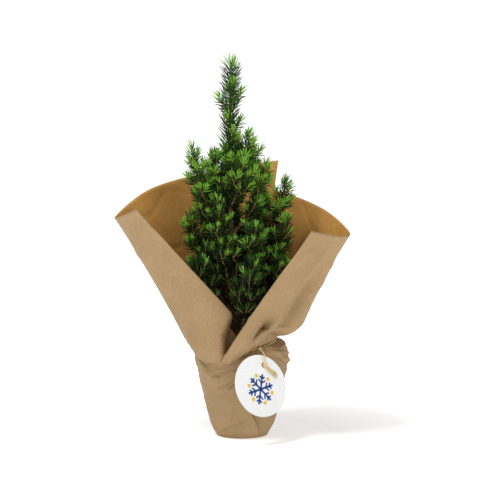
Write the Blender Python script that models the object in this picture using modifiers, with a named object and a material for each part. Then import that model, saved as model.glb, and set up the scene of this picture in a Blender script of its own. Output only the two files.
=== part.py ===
"""Young spruce in a nursery pot, wrapped in kraft paper that is tied at the neck and opens in front.

The tree is a trunk, its boughs and a mass of needled twigs for each bough. Sizes are real ones.
The part stands on the flat underside of the wrap, +Z is up and the open front of the wrap faces -Y.
"""

import math
import random

import bmesh
import bpy
from mathutils import Matrix, Quaternion, Vector
from mathutils.bvhtree import BVHTree
from mathutils.kdtree import KDTree

MM = 0.001
UP = Vector((0, 0, 1))
CLEAR = 0.3 * MM
WELD = 0.01 * MM
SAMPLE_STEP = 2.0 * MM
ROUTE_STEPS = 40
SHARP_ANGLE = math.radians(40)

# Nursery pot and its compost
PAPER = 0.6 * MM
POT_WALL = 1.0 * MM
POT_SIDES = 32
POT_FOOT_RADIUS = 24.5 * MM
POT_HEEL_RADIUS = 30.5 * MM
POT_HEEL = 13.0 * MM
POT_BODY_RADIUS = 43.6 * MM
POT_RIM_RADIUS = 45.0 * MM
POT_RIM_HEIGHT = 5.0 * MM
POT_TOP = 80.0 * MM
COMPOST_TOP = 72.0 * MM

# Kraft paper: the sleeve round the pot, and the neck where it is tied
SLEEVE_FIT = 0.5 * MM
SLEEVE_SIDES = 28
SHOULDER_ROWS = 3
SHOULDER_LIFT = 0.8
NECK_CENTRE = Vector((-6.5, 0.0, 90.0)) * MM
NECK_RADIUS = 37.5 * MM
NECK_RISE_RIGHT = 0.165
NECK_RISE_BACK = 0.10

# Kraft paper: the two panels that flare from the neck. Their edges run anticlockwise, seen from above.
PANEL_ROWS = 8
PANEL_COLUMNS = 18
ROW_CROWDING = 1.6
LEFT_RIM = [(38, 79, 277), (-46, 65, 262), (-97, 33, 245), (-126, -8, 218), (-100, -60, 226)]
LEFT_NECK = [(-304, 3.5), (-258, 3.0), (-210, 1.0), (-165, 0.0), (-38, 6.0)]
LEFT_PUFF = 3.0 * MM
RIGHT_RIM = [(67, -62, 205), (95, -41, 200), (107, -12, 203), (83, 37, 226), (42, 71, 243), (-22, 92, 256)]
RIGHT_NECK = [(-111, 0.0), (-75, 0.0), (-30, 0.0), (15, 0.0), (65, 0.0), (118, 0.0)]
RIGHT_PUFF = 17.0 * MM
PUFF_ROW = 0.22
PUFF_DROOP = 0.3

# Raffia tie and card tag
BAND_RADIUS = 0.8 * MM
BAND_POINTS = 40
TIE_SIDES = 6
KNOT_RADIUS = 2.4 * MM
KNOT_ANGLE = math.radians(-57)
STRAND_RADIUS = 0.8 * MM
STRAND_STEPS = 16
BALL_SEGMENTS = 8
BALL_RINGS = 6
TAIL_LENGTH = 19.0 * MM
TAIL_WIDTH = 5.5 * MM
TAIL_THICKNESS = 0.8 * MM
TAIL_TURN = math.radians(-42)
TAG_RADIUS = 30.0 * MM
TAG_SIDES = 40
TAG_THICKNESS = 0.6 * MM
TAG_HOLE_RADIUS = 2.2 * MM
TAG_HOLE_SIDES = 12
TAG_HOLE_OUT = 20.5 * MM
TAG_CENTRE = Vector((18.5, -54.5, 57.0)) * MM
TAG_NORMAL = Vector((0.57, -0.77, 0.29)).normalized()
TAG_TURN = math.radians(-20)

# Trunk
TRUNK_FOOT = Vector((-2.0, 0.0, 72.3)) * MM
TRUNK_RISE = 290.0 * MM
TRUNK_LEAN = 10.5 * MM
TRUNK_NOD = 2.0 * MM
TRUNK_BEND = 2.2
TRUNK_FOOT_RADIUS = 4.2 * MM
TRUNK_TIP_RADIUS = 1.0 * MM
ROOT_FLARE = 3.0 * MM
ROOT_FLARE_RISE = 9.0 * MM
TRUNK_RINGS = 24
TRUNK_TAPER = 0.8
RING_CROWDING = 1.3
TRUNK_SIDES = 8

# Boughs: the height of the foot on the trunk, the tip of the shoot and the share of it that is bare wood
BOUGHS = {
    "upper_left": (190, (-50, -10, 288), 0.33),
    "mid_right": (200, (24, 0, 272), 0.28),
    "far_right": (150, (45, 15, 256), 0.33),
    "low_right": (120, (45, -5, 218), 0.33),
    "lowest_right": (108, (39, -20, 177), 0.38),
    "front_right": (140, (14, -30, 210), 0.33),
    "front_left": (130, (-24, -25, 237), 0.28),
    "low_left": (120, (-52, 0, 222), 0.33),
    "lowest_left": (104, (-45, -25, 175), 0.38),
    "low_front": (118, (9, -35, 177), 0.38),
    "lowest_front": (96, (8, -43, 163), 0.43),
    "middle_front": (146, (-4, -22, 195), 0.33),
    "back_high": (205, (-12, 28, 266), 0.28),
    "back_left": (165, (-38, 30, 246), 0.33),
    "back_right": (172, (22, 36, 244), 0.33),
    "back_middle": (140, (-6, 42, 226), 0.33),
    "back_low_left": (112, (-40, 26, 196), 0.38),
    "back_low_right": (114, (26, 38, 200), 0.38),
}
BOUGH_FOOT_RADIUS = 2.2 * MM
BOUGH_TIP_RADIUS = 1.3 * MM
BOUGH_SIDES = 5
BOUGH_RINGS = 5
LEAVE_OUT = 0.45
LEAVE_UP = 0.18
ARRIVE_OUT = 0.12
ARRIVE_UP = 0.40

# Short shoots that grow from the upper trunk with no bare wood: the height of the foot and the tip
SHORT_SHOOTS = {
    "crest_left": (222, (-29, 10, 284)),
    "crest_right": (256, (8, -5, 302)),
    "crest_back": (238, (12, 14, 286)),
    "crest_front": (228, (2, -16, 280)),
}

# The leader: the heights that its two sleeves of needles cover, and the foot and bearing of their shoots
LEADER_SLEEVES = {"leader_low": (267, 313), "leader_high": (314, 371)}
LEADER_SHOOTS = {"leader_low": [(288, -70), (300, 20)], "leader_high": [(322, 190), (328, -10)]}
LEADER_SHOOT_LENGTH = 17.0 * MM
SLEEVE_CORE = 0.9 * MM
SLEEVE_CORE_SIDES = 6

# Needles, which stand out of slim three-sided cores
CORE_RADIUS = 1.2 * MM
CORE_SIDES = 3
CORE_TAPER = 0.35
ROOT_SHARE = 0.5
WHORL = 2.4 * MM
WHORL_PITCH = 7.2 * MM
WHORL_TURN = math.radians(25)
BARE_FOOT = 4.0 * MM
BUD_LENGTH = 2.0 * MM
NEEDLE_LENGTH = 12.0 * MM
LEADER_NEEDLE_LENGTH = 14.5 * MM
NEEDLE_TRIALS = (1.0, 0.65)
NEEDLE_PROBES = (0.3, 0.65, 1.0)
NEEDLE_SPREAD = (0.85, 1.1)
NEEDLE_SLOPE = math.radians(50)
TIP_SLOPE = math.radians(24)
TWIG_PITCH = 9.5 * MM
TWIG_LENGTH = 22.0 * MM
TWIG_SHORTEST = 10.0 * MM
TWIG_SLOPE = math.radians(48)
TWIG_LIFT = 0.35
TWIG_STEPS = 8
TWIG_TAPER = 0.5
TWIG_SPREAD = (0.9, 1.1)
TWIG_SHRINK = 0.85
TWIG_FREE_FOOT = 3.0 * MM
GOLDEN_ANGLE = math.radians(137.5)
LIMB_MARGIN = 0.5 * MM
SPACE_MARGIN = 1.2 * MM
KIN_MARGIN = 2.0 * MM
TWIG_TRIALS = 3


def empty_scene():
    for obj in list(bpy.data.objects):
        bpy.data.objects.remove(obj)


def new_collection(name, hidden=False):
    made = bpy.data.collections.new(name)
    made.hide_render = hidden
    bpy.context.scene.collection.children.link(made)
    return made


def new_material(name, colour, roughness):
    made = bpy.data.materials.new(name)
    made.use_nodes = True
    shader = made.node_tree.nodes["Principled BSDF"]
    shader.inputs["Base Color"].default_value = (*colour, 1)
    shader.inputs["Metallic"].default_value = 0
    shader.inputs["Roughness"].default_value = roughness
    return made


def add(name, data, group, finish=None):
    obj = bpy.data.objects.new(name, data)
    group.objects.link(obj)
    if finish:
        data.materials.clear()
        data.materials.append(finish)
    return obj


def rounded(obj):
    """Shades a round piece smooth and keeps its true edges sharp."""
    obj.data.shade_smooth()
    obj.data.set_sharp_from_angle(angle=SHARP_ANGLE)
    return obj


def as_mesh(obj, weld=WELD):
    """Turns a curve, or a mesh with modifiers, into a plain mesh object of the same name."""
    bpy.context.view_layer.update()
    name, group, place = obj.name, obj.users_collection[0], obj.matrix_world.copy()
    finish = obj.data.materials[0]
    data = bpy.data.meshes.new_from_object(obj.evaluated_get(bpy.context.evaluated_depsgraph_get()))
    bm = bmesh.new()
    bm.from_mesh(data)
    bmesh.ops.remove_doubles(bm, verts=bm.verts, dist=weld)
    bmesh.ops.recalc_face_normals(bm, faces=bm.faces)
    bm.to_mesh(data)
    bm.free()
    bpy.data.objects.remove(obj)
    made = add(name, data, group, finish)
    made.matrix_world = place
    return made


def boolean(obj, operation, other, solver="EXACT"):
    """A live Boolean with an object, or with all the objects of a collection."""
    modifier = obj.modifiers.new(operation.lower(), "BOOLEAN")
    modifier.operation = operation
    modifier.solver = solver
    if isinstance(other, bpy.types.Collection):
        modifier.operand_type = "COLLECTION"
        modifier.collection = other
    else:
        modifier.object = other


def joined(name, pieces, cutter=None, solver="EXACT"):
    """The pieces made one by a Boolean union on a collection, then cut clear of a neighbour, and applied."""
    base = pieces[0]
    rest = new_collection(name + "_rest")
    for piece in pieces[1:]:
        piece.users_collection[0].objects.unlink(piece)
        rest.objects.link(piece)
    if len(pieces) > 1:
        boolean(base, "UNION", rest, solver)
    if cutter:
        boolean(base, "DIFFERENCE", cutter, solver)
    base.name = name
    made = as_mesh(base, weld=0)
    for piece in list(rest.objects):
        bpy.data.objects.remove(piece)
    bpy.data.collections.remove(rest)
    made.data.name = name
    keep_main_shell(made.data)
    return made


def keep_main_shell(data):
    """Fills hollows that joining sealed and drops loose scraps, by keeping the largest run of joined faces."""
    bm = bmesh.new()
    bm.from_mesh(data)
    shells, seen = [], set()
    for first in bm.faces:
        if first in seen:
            continue
        shell, waiting = {first}, [first]
        while waiting:
            for edge in waiting.pop().edges:
                for face in edge.link_faces:
                    if face not in shell:
                        shell.add(face)
                        waiting.append(face)
        seen |= shell
        shells.append(shell)
    main_shell = max(shells, key=len)
    scraps = [face for face in bm.faces if face not in main_shell]
    bmesh.ops.delete(bm, geom=scraps, context="FACES")
    bm.to_mesh(data)
    bm.free()


def through(points, share):
    """Point at a share of the way along a smooth curve through evenly spaced points."""
    spans = len(points) - 1
    i = min(int(share * spans), spans - 1)
    t = share * spans - i
    a, b = points[i], points[i + 1]
    before = points[i - 1] if i else a * 2 - b
    after = points[i + 2] if i + 2 <= spans else b * 2 - a
    slope_a, slope_b = (b - before) / 2, (after - a) / 2
    return (
        a * (2 * t**3 - 3 * t**2 + 1)
        + slope_a * (t**3 - 2 * t**2 + t)
        + b * (3 * t**2 - 2 * t**3)
        + slope_b * (t**3 - t**2)
    )


class Route:
    """A line through close points, read by the distance along it."""

    def __init__(self, points):
        self.points = points
        self.reach = [0.0]
        for a, b in zip(points, points[1:]):
            self.reach.append(self.reach[-1] + (b - a).length)
        self.length = self.reach[-1]

    def at(self, distance):
        i = 0
        while i < len(self.points) - 2 and self.reach[i + 1] < distance:
            i += 1
        share = (distance - self.reach[i]) / (self.reach[i + 1] - self.reach[i])
        return self.points[i].lerp(self.points[i + 1], share)

    def heading(self, distance):
        return (self.at(distance + 0.5 * MM) - self.at(distance - 0.5 * MM)).normalized()

    def samples(self, start, end, step):
        count = max(2, math.ceil((end - start) / step))
        return [self.at(start + (end - start) * i / count) for i in range(count + 1)]


def tube(name, points, radii, sides, group, finish, tilts=None):
    """A tube with filled caps: a curve bevelled by a profile of so many sides, as a welded mesh."""
    profile = bpy.data.curves.new(name + "_profile", "CURVE")
    ring = profile.splines.new("POLY")
    ring.points.add(sides - 1)
    ring.use_cyclic_u = True
    for i, corner in enumerate(ring.points):
        angle = 2 * math.pi * i / sides
        corner.co = (math.cos(angle), math.sin(angle), 0, 1)
    outline = add(name + "_outline", profile, group)
    curve = bpy.data.curves.new(name, "CURVE")
    curve.dimensions = "3D"
    curve.bevel_mode = "OBJECT"
    curve.bevel_object = outline
    curve.use_fill_caps = True
    line = curve.splines.new("POLY")
    line.points.add(len(points) - 1)
    for i, point in enumerate(line.points):
        point.co = (*points[i], 1)
        point.radius = radii[i]
        point.tilt = tilts[i] if tilts else 0
    made = as_mesh(add(name, curve, group, finish))
    bpy.data.objects.remove(outline)
    return made


def turned(name, profile, group, finish):
    """A turned solid. Its (radius, height) points run outwards, down the outer side and back to the axis."""
    data = bpy.data.meshes.new(name)
    points = [(radius, 0, height) for radius, height in profile]
    data.from_pydata(points, [(i, i + 1) for i in range(len(points) - 1)], [])
    obj = add(name, data, group, finish)
    screw = obj.modifiers.new("turn", "SCREW")
    screw.steps = screw.render_steps = POT_SIDES
    screw.use_merge_vertices = True
    screw.merge_threshold = WELD
    return obj


def sheet(name, rows, closed, group, finish):
    """Paper whose outer face runs through rows of points. A closed one has a floor in its first ring."""
    bm = bmesh.new()
    grid = [[bm.verts.new(point) for point in row] for row in rows]
    count = len(rows[0])
    for low, high in zip(grid, grid[1:]):
        for i in range(count if closed else count - 1):
            j = (i + 1) % count
            bm.faces.new((low[i], low[j], high[j], high[i])).smooth = True
    if closed:
        bm.faces.new(reversed(grid[0]))
    data = bpy.data.meshes.new(name)
    bm.to_mesh(data)
    bm.free()
    obj = add(name, data, group, finish)
    skin = obj.modifiers.new("thickness", "SOLIDIFY")
    skin.thickness = PAPER
    skin.offset = -1
    skin.use_even_offset = True
    return obj


def make_pot(group, finish):
    inner_floor = PAPER + CLEAR + POT_WALL
    return turned(
        "nursery_pot",
        [
            (0, inner_floor),
            (POT_FOOT_RADIUS - POT_WALL / 2, inner_floor),
            (POT_HEEL_RADIUS - POT_WALL, POT_HEEL),
            (POT_BODY_RADIUS - POT_WALL, POT_TOP - POT_RIM_HEIGHT),
            (POT_RIM_RADIUS - POT_WALL, POT_TOP),
            (POT_RIM_RADIUS, POT_TOP),
            (POT_RIM_RADIUS, POT_TOP - POT_RIM_HEIGHT),
            (POT_BODY_RADIUS, POT_TOP - POT_RIM_HEIGHT),
            (POT_HEEL_RADIUS, POT_HEEL),
            (POT_FOOT_RADIUS, PAPER + CLEAR),
            (0, PAPER + CLEAR),
        ],
        group,
        finish,
    )


def make_compost(group, finish):
    bottom = PAPER + POT_WALL + 2 * CLEAR
    fit = POT_WALL + CLEAR
    flare = (POT_BODY_RADIUS - POT_HEEL_RADIUS) / (POT_TOP - POT_RIM_HEIGHT - POT_HEEL)
    top_radius = POT_HEEL_RADIUS - fit + flare * (COMPOST_TOP - POT_HEEL)
    return turned(
        "compost",
        [
            (0, COMPOST_TOP),
            (top_radius, COMPOST_TOP),
            (POT_HEEL_RADIUS - fit, POT_HEEL),
            (POT_FOOT_RADIUS - fit, bottom),
            (0, bottom),
        ],
        group,
        finish,
    )


def neck_point(angle, inset=0.0):
    """Point of the tilted, off-centre ring where the paper is tied."""
    x, y = (NECK_RADIUS - inset) * math.cos(angle), (NECK_RADIUS - inset) * math.sin(angle)
    return NECK_CENTRE + Vector((x, y, NECK_RISE_RIGHT * x + NECK_RISE_BACK * y))


def make_sleeve(group, finish):
    """The paper from the underside up the pot and over its rim to the neck."""
    profile = [
        (POT_FOOT_RADIUS, 0),
        (POT_HEEL_RADIUS, POT_HEEL),
        (POT_RIM_RADIUS, POT_TOP - POT_RIM_HEIGHT),
        (POT_RIM_RADIUS, POT_TOP),
    ]
    angles = [2 * math.pi * i / SLEEVE_SIDES for i in range(SLEEVE_SIDES)]
    rows = []
    for radius, height in profile:
        radius = (radius + SLEEVE_FIT + PAPER) / math.cos(math.pi / SLEEVE_SIDES)
        rows.append([Vector((radius * math.cos(a), radius * math.sin(a), height)) for a in angles])
    shoulder = rows[-1]
    for k in range(1, SHOULDER_ROWS + 1):
        t = k / SHOULDER_ROWS
        row = []
        for angle, start in zip(angles, shoulder):
            end = neck_point(angle) - UP * CLEAR / 2
            lifted = start + UP * SHOULDER_LIFT * (end.z - start.z)
            row.append(start * (1 - t) ** 2 + lifted * 2 * t * (1 - t) + end * t * t)
        rows.append(row)
    return sheet("wrap_sleeve", rows, True, group, finish)


def swell(share):
    """How far a panel puffs out: up to the elbow above the tie, then straight back to the rim."""
    if share < PUFF_ROW:
        return math.sin(math.pi / 2 * share / PUFF_ROW)
    return (1 - share) / (1 - PUFF_ROW)


def make_panel(name, rim, neck, puff, group, finish):
    """Paper that flares from the neck to its rim and puffs out above the tie."""
    rim = [Vector(point) * MM for point in rim]
    neck = [Vector((math.radians(angle), inset * MM)) for angle, inset in neck]
    rows = []
    for r in range(PANEL_ROWS + 1):
        share = (r / PANEL_ROWS) ** ROW_CROWDING
        row = []
        for c in range(PANEL_COLUMNS + 1):
            u = c / PANEL_COLUMNS
            angle, inset = through(neck, u)
            low = neck_point(angle, inset) + UP * CLEAR / 2
            out = Vector((math.cos(angle), math.sin(angle), -PUFF_DROOP))
            bulge = puff * swell(share) * math.sqrt(abs(math.sin(math.pi * u)))
            row.append(low.lerp(through(rim, u), share) + out * bulge)
        rows.append(row)
    return sheet(name, rows, False, group, finish)


def faces_of(objects):
    """One search tree over the faces of these objects as they look with their modifiers."""
    bpy.context.view_layer.update()
    graph = bpy.context.evaluated_depsgraph_get()
    points, faces = [], []
    for obj in objects:
        seen = obj.evaluated_get(graph)
        mesh = seen.to_mesh()
        start = len(points)
        points += [obj.matrix_world @ vertex.co for vertex in mesh.vertices]
        faces += [[start + i for i in face.vertices] for face in mesh.polygons]
        seen.to_mesh_clear()
    return BVHTree.FromPolygons(points, faces)


def seat(angle, radius, paper):
    """Centre of a ball of this radius that is pushed into the tied groove as far as the paper lets it."""
    offset = radius
    while paper.find_nearest(neck_point(angle, -offset))[3] < radius + CLEAR:
        offset += 0.1 * MM
    return neck_point(angle, -offset)


def ball(name, centre, radius, group, finish):
    bm = bmesh.new()
    bmesh.ops.create_uvsphere(bm, u_segments=BALL_SEGMENTS, v_segments=BALL_RINGS, radius=radius)
    data = bpy.data.meshes.new(name)
    bm.to_mesh(data)
    bm.free()
    obj = add(name, data, group, finish)
    obj.location = centre
    return obj


def tag_frame():
    """The tag's own axes: X and Y in the card, with the hole on +Y, and Z out of its printed face."""
    turn = TAG_NORMAL.to_track_quat("Z", "Y") @ Quaternion((0, 0, 1), TAG_TURN)
    return Matrix.LocRotScale(TAG_CENTRE, turn, None)


def disc(name, radius, thickness, sides, group, finish=None):
    bm = bmesh.new()
    bmesh.ops.create_cone(
        bm, cap_ends=True, segments=sides, radius1=radius, radius2=radius, depth=thickness
    )
    data = bpy.data.meshes.new(name)
    bm.to_mesh(data)
    bm.free()
    return add(name, data, group, finish)


def make_tag(group, cutters, finish):
    tag = disc("tag", TAG_RADIUS, TAG_THICKNESS, TAG_SIDES, group, finish)
    tag.matrix_world = tag_frame()
    hole = disc("tag_hole", TAG_HOLE_RADIUS, 5 * TAG_THICKNESS, TAG_HOLE_SIDES, cutters)
    hole.matrix_world = tag_frame() @ Matrix.Translation((0, TAG_HOLE_OUT, 0))
    hole.display_type = "WIRE"
    hole.hide_render = True
    boolean(tag, "DIFFERENCE", hole)
    return tag


def make_tail(group, finish):
    """The cut end of the raffia, which fans out over the face of the tag."""
    curve = bpy.data.curves.new("tail", "CURVE")
    curve.dimensions = "2D"
    curve.fill_mode = "BOTH"
    curve.extrude = TAIL_THICKNESS / 2
    line = curve.splines.new("POLY")
    half = TAIL_WIDTH / 2
    outline = [
        (0, -half / 3),
        (TAIL_LENGTH * 0.6, -half * 0.8),
        (TAIL_LENGTH * 0.94, -half),
        (TAIL_LENGTH, 0),
        (TAIL_LENGTH * 0.95, half),
        (TAIL_LENGTH * 0.6, half * 0.8),
        (0, half / 3),
    ]
    line.points.add(len(outline) - 1)
    for point, (x, y) in zip(line.points, outline):
        point.co = (x, y, 0, 1)
    line.use_cyclic_u = True
    tail = add("tail", curve, group, finish)
    lift = TAG_THICKNESS / 2 + CLEAR + TAIL_THICKNESS / 2
    hole = Matrix.Translation((0, TAG_HOLE_OUT, lift)) @ Matrix.Rotation(TAIL_TURN - TAG_TURN, 4, "Z")
    tail.matrix_world = tag_frame() @ hole
    return as_mesh(tail)


def make_tie(paper, group, finish):
    """The raffia: a band in the groove of the neck, its knot, and a strand that holds the tag."""
    count = BAND_POINTS
    band = [seat(2 * math.pi * i / count, BAND_RADIUS, paper) for i in range(count)]
    curve = bpy.data.curves.new("band", "CURVE")
    curve.dimensions = "3D"
    curve.bevel_depth = BAND_RADIUS
    curve.bevel_resolution = 1
    line = curve.splines.new("POLY")
    line.points.add(count - 1)
    line.use_cyclic_u = True
    for point, place in zip(line.points, band):
        point.co = (*place, 1)
    knot = seat(KNOT_ANGLE, KNOT_RADIUS, paper)
    card = tag_frame()
    face = TAG_THICKNESS / 2 + CLEAR
    bead = card @ Vector((0, TAG_HOLE_OUT, face + KNOT_RADIUS))
    back = card @ Vector((0, TAG_HOLE_OUT, -face - STRAND_RADIUS))
    over_edge = card @ Vector(((card.inverted() @ knot).x / 2, TAG_RADIUS, face + 2 * STRAND_RADIUS))
    strand = [seat(KNOT_ANGLE, BAND_RADIUS, paper), knot, over_edge, bead, back]
    smooth = [through(strand, i / STRAND_STEPS) for i in range(STRAND_STEPS + 1)]
    pieces = [
        as_mesh(add("band", curve, group, finish)),
        ball("knot", knot, KNOT_RADIUS, group, finish),
        tube("strand", smooth, [STRAND_RADIUS] * len(smooth), TIE_SIDES, group, finish),
        ball("bead", bead, KNOT_RADIUS, group, finish),
        make_tail(group, finish),
    ]
    return rounded(joined("raffia_tie", pieces))


def trunk_point(share):
    lean = -TRUNK_LEAN * math.sin(TRUNK_BEND * share)
    nod = TRUNK_NOD * math.sin(math.pi * share)
    return TRUNK_FOOT + Vector((lean, nod, TRUNK_RISE * share))


def trunk_share(height):
    return (height * MM - TRUNK_FOOT.z) / TRUNK_RISE


def trunk_radius(share):
    share = max(0.0, share)
    flare = max(0.0, 1 - share * TRUNK_RISE / ROOT_FLARE_RISE)
    taper = (TRUNK_FOOT_RADIUS - TRUNK_TIP_RADIUS) * share**TRUNK_TAPER
    return TRUNK_FOOT_RADIUS - taper + ROOT_FLARE * flare**2


def make_skin(cutters, finish):
    """A cutter that leaves the trunk its clearance. It starts under the foot and ends just over the tip."""
    start, end = -ROOT_FLARE / TRUNK_RISE, 1 + CLEAR / TRUNK_RISE
    shares = [start + (end - start) * i / TRUNK_RINGS for i in range(TRUNK_RINGS + 1)]
    points = [trunk_point(share) for share in shares]
    radii = [trunk_radius(share) + CLEAR for share in shares]
    skin = tube("trunk_skin", points, radii, 2 * TRUNK_SIDES, cutters, finish)
    skin.display_type = "WIRE"
    skin.hide_render = True
    return skin


def make_trunk(group, finish):
    """The trunk, with rings close together in the root flare and a flat cut at the compost."""
    shares = [(i / TRUNK_RINGS) ** RING_CROWDING for i in range(TRUNK_RINGS + 1)]
    points = [trunk_point(share) for share in shares]
    points[1].xy = points[0].xy
    radii = [trunk_radius(share) for share in shares]
    return rounded(tube("trunk", points, radii, TRUNK_SIDES, group, finish))


def shoot_route(foot_height, tip):
    """A bough with its shoot: out from the trunk first, then up to the tip."""
    foot, tip = trunk_point(trunk_share(foot_height)), Vector(tip) * MM
    out = Vector((tip.x - foot.x, tip.y - foot.y, 0))
    rise = UP * (tip.z - foot.z)
    leave = foot + out * LEAVE_OUT + rise * LEAVE_UP
    arrive = tip - out * ARRIVE_OUT - rise * ARRIVE_UP
    points = []
    for i in range(ROUTE_STEPS + 1):
        t = i / ROUTE_STEPS
        points.append(
            foot * (1 - t) ** 3 + leave * 3 * t * (1 - t) ** 2 + arrive * 3 * t * t * (1 - t) + tip * t**3
        )
    return Route(points)


def make_bough(name, route, wood, cutter, group, finish):
    """The bare wood of one limb, cut to sit on the trunk."""
    distances = [route.length * wood * i / BOUGH_RINGS for i in range(BOUGH_RINGS + 1)]
    points = [route.at(distance) for distance in distances]
    step = (BOUGH_TIP_RADIUS - BOUGH_FOOT_RADIUS) / BOUGH_RINGS
    radii = [BOUGH_FOOT_RADIUS + step * i for i in range(BOUGH_RINGS + 1)]
    bough = rounded(tube("bough_" + name, points, radii, BOUGH_SIDES, group, finish))
    boolean(bough, "DIFFERENCE", cutter)
    return bough


def tree_of(points):
    made = KDTree(len(points))
    for i, point in enumerate(points):
        made.insert(point, i)
    made.balance()
    return made


class Space:
    """The room of one mass: nearer to its own stem than to any other, and clear of limbs and paper."""

    def __init__(self, name, stems, limbs):
        self.limbs = limbs
        self.own = tree_of(stems[name])
        self.others = tree_of([point for other, line in stems.items() if other != name for point in line])
        self.kin = None

    def avoid(self, routes):
        """Keeps what comes next off the other stems and twigs of its own mass too."""
        points = [point for route in routes for point in route.samples(0, route.length, MM)]
        self.kin = tree_of(points) if points else None

    def holds(self, points):
        for point in points:
            if self.others.find(point)[2] - self.own.find(point)[2] < SPACE_MARGIN:
                return False
            if self.limbs.find_nearest(point, LIMB_MARGIN + CORE_RADIUS / 2)[0]:
                return False
            if self.kin and self.kin.find(point)[2] < KIN_MARGIN:
                return False
        for a, b in zip(points, points[1:]):
            if self.limbs.ray_cast(a, (b - a).normalized(), (b - a).length)[0]:
                return False
        return True


def stand_needles(obj, route, whorls, needle, space, draw, bud=None):
    """Draws faces of a core out to needle points where its whorls are, and its end cap to a bud."""
    bm = bmesh.new()
    bm.from_mesh(obj.data)
    for face in list(bm.faces):
        centre = face.calc_center_median()
        if bud and (centre - route.at(bud)).length < WHORL / 4:
            tip = bmesh.ops.poke(bm, faces=[face])["verts"][0]
            tip.co = centre + route.heading(bud) * BUD_LENGTH
            continue
        distance = min(whorls, key=lambda d: (route.at(d) - centre).length)
        foot, heading = route.at(distance), route.heading(distance)
        if abs((centre - foot).dot(heading)) > WHORL / 4 or len(face.verts) != 4:
            continue
        out = (centre - foot).normalized()
        slope = NEEDLE_SLOPE * draw.uniform(*NEEDLE_SPREAD)
        if bud and distance == whorls[-1]:
            slope = TIP_SLOPE
        length = needle * draw.uniform(*NEEDLE_SPREAD)
        reach = (out * math.sin(slope) + heading * math.cos(slope)) * length
        for share in NEEDLE_TRIALS:
            if space.holds([centre + reach * share * step for step in NEEDLE_PROBES]):
                tip = bmesh.ops.poke(bm, faces=[face])["verts"][0]
                tip.co = centre + reach * share
                break
    bm.to_mesh(obj.data)
    bm.free()


def whorl_stops(start, end):
    """Where the whorls of needles are, and the stops of the core on both sides of each."""
    count = max(1, int((end - start) / WHORL_PITCH))
    pitch = (end - WHORL - start) / max(1, count - 0.5)
    whorls = [end - WHORL - pitch * i for i in reversed(range(count))]
    stops = [distance + side * WHORL / 2 for distance in whorls for side in (-1, 1)]
    return whorls, stops


def needled_core(name, route, start, end, needle, space, draw, group, finish):
    """A slim core from a start to an end of a route, its whorls turned against each other."""
    whorls, stops = whorl_stops(start + BARE_FOOT, end)
    stops = [start] + stops + [end]
    turn = draw.uniform(0, math.pi)
    tilts = [turn + WHORL_TURN * ((i - 1) // 2) for i in range(len(stops))]
    tilts[0], tilts[-1] = tilts[1], tilts[-2]
    radii = [CORE_RADIUS * (1 - CORE_TAPER * (d - start) / (end - start)) for d in stops]
    if start == 0:
        radii[0] *= ROOT_SHARE
    points = [route.at(distance) for distance in stops]
    core = tube(name, points, radii, CORE_SIDES, group, finish, tilts)
    stand_needles(core, route, whorls, needle, space, draw, end)
    return core


def twig_route(root, heading, out, length):
    """A side twig that leaves its stem at a slope and lifts towards its tip."""
    aim = heading * math.cos(TWIG_SLOPE) + out * math.sin(TWIG_SLOPE)
    points = []
    for i in range(TWIG_STEPS + 1):
        t = i / TWIG_STEPS
        points.append(root + aim * length * t + UP * length * TWIG_LIFT * t * t)
    return Route(points)


def side_twigs(route, start, end, space, draw):
    """Twigs round a stem by the golden angle, shorter towards the tip. One that doesn't fit is skipped."""
    twigs = []
    count = int((end - start) / TWIG_PITCH)
    angle = draw.uniform(0, 2 * math.pi)
    for i in range(count):
        distance = start + TWIG_PITCH * (i + 0.5)
        root, heading = route.at(distance), route.heading(distance)
        length = TWIG_LENGTH * (1 - TWIG_TAPER * i / count) * draw.uniform(*TWIG_SPREAD)
        for _ in range(TWIG_TRIALS):
            angle += GOLDEN_ANGLE
            out = heading.orthogonal().normalized()
            out.rotate(Quaternion(heading, angle))
            twig = twig_route(root, heading, out, length)
            line = twig.samples(TWIG_FREE_FOOT, twig.length, SAMPLE_STEP)
            if twig.length > TWIG_SHORTEST and space.holds(line):
                twigs.append(twig)
                break
            length *= TWIG_SHRINK
    return twigs


def needled_twigs(name, stem, twigs, space, draw, group, finish):
    cores = []
    for i, twig in enumerate(twigs):
        space.avoid([other for other in [stem] + twigs if other is not twig])
        cores.append(
            needled_core(f"{name}_twig_{i}", twig, 0, twig.length, NEEDLE_LENGTH, space, draw, group, finish)
        )
    return cores


def make_mass(name, route, start, stems, limbs, cutter, group, finish):
    """One mass of foliage: a needled stem with its side twigs, all joined."""
    draw = random.Random(name)
    space = Space(name, stems, limbs)
    twigs = side_twigs(route, start + BARE_FOOT, route.length - BARE_FOOT, space, draw)
    space.avoid(twigs)
    stem = needled_core(name, route, start, route.length, NEEDLE_LENGTH, space, draw, group, finish)
    cores = needled_twigs(name, route, twigs, space, draw, group, finish)
    return joined("foliage_" + name, [stem] + cores, cutter, "MANIFOLD")


def leader_route(low, high):
    """The trunk's own line between two heights."""
    start, end = trunk_share(low), trunk_share(high)
    return Route([trunk_point(start + (end - start) * i / ROUTE_STEPS) for i in range(ROUTE_STEPS + 1)])


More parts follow.
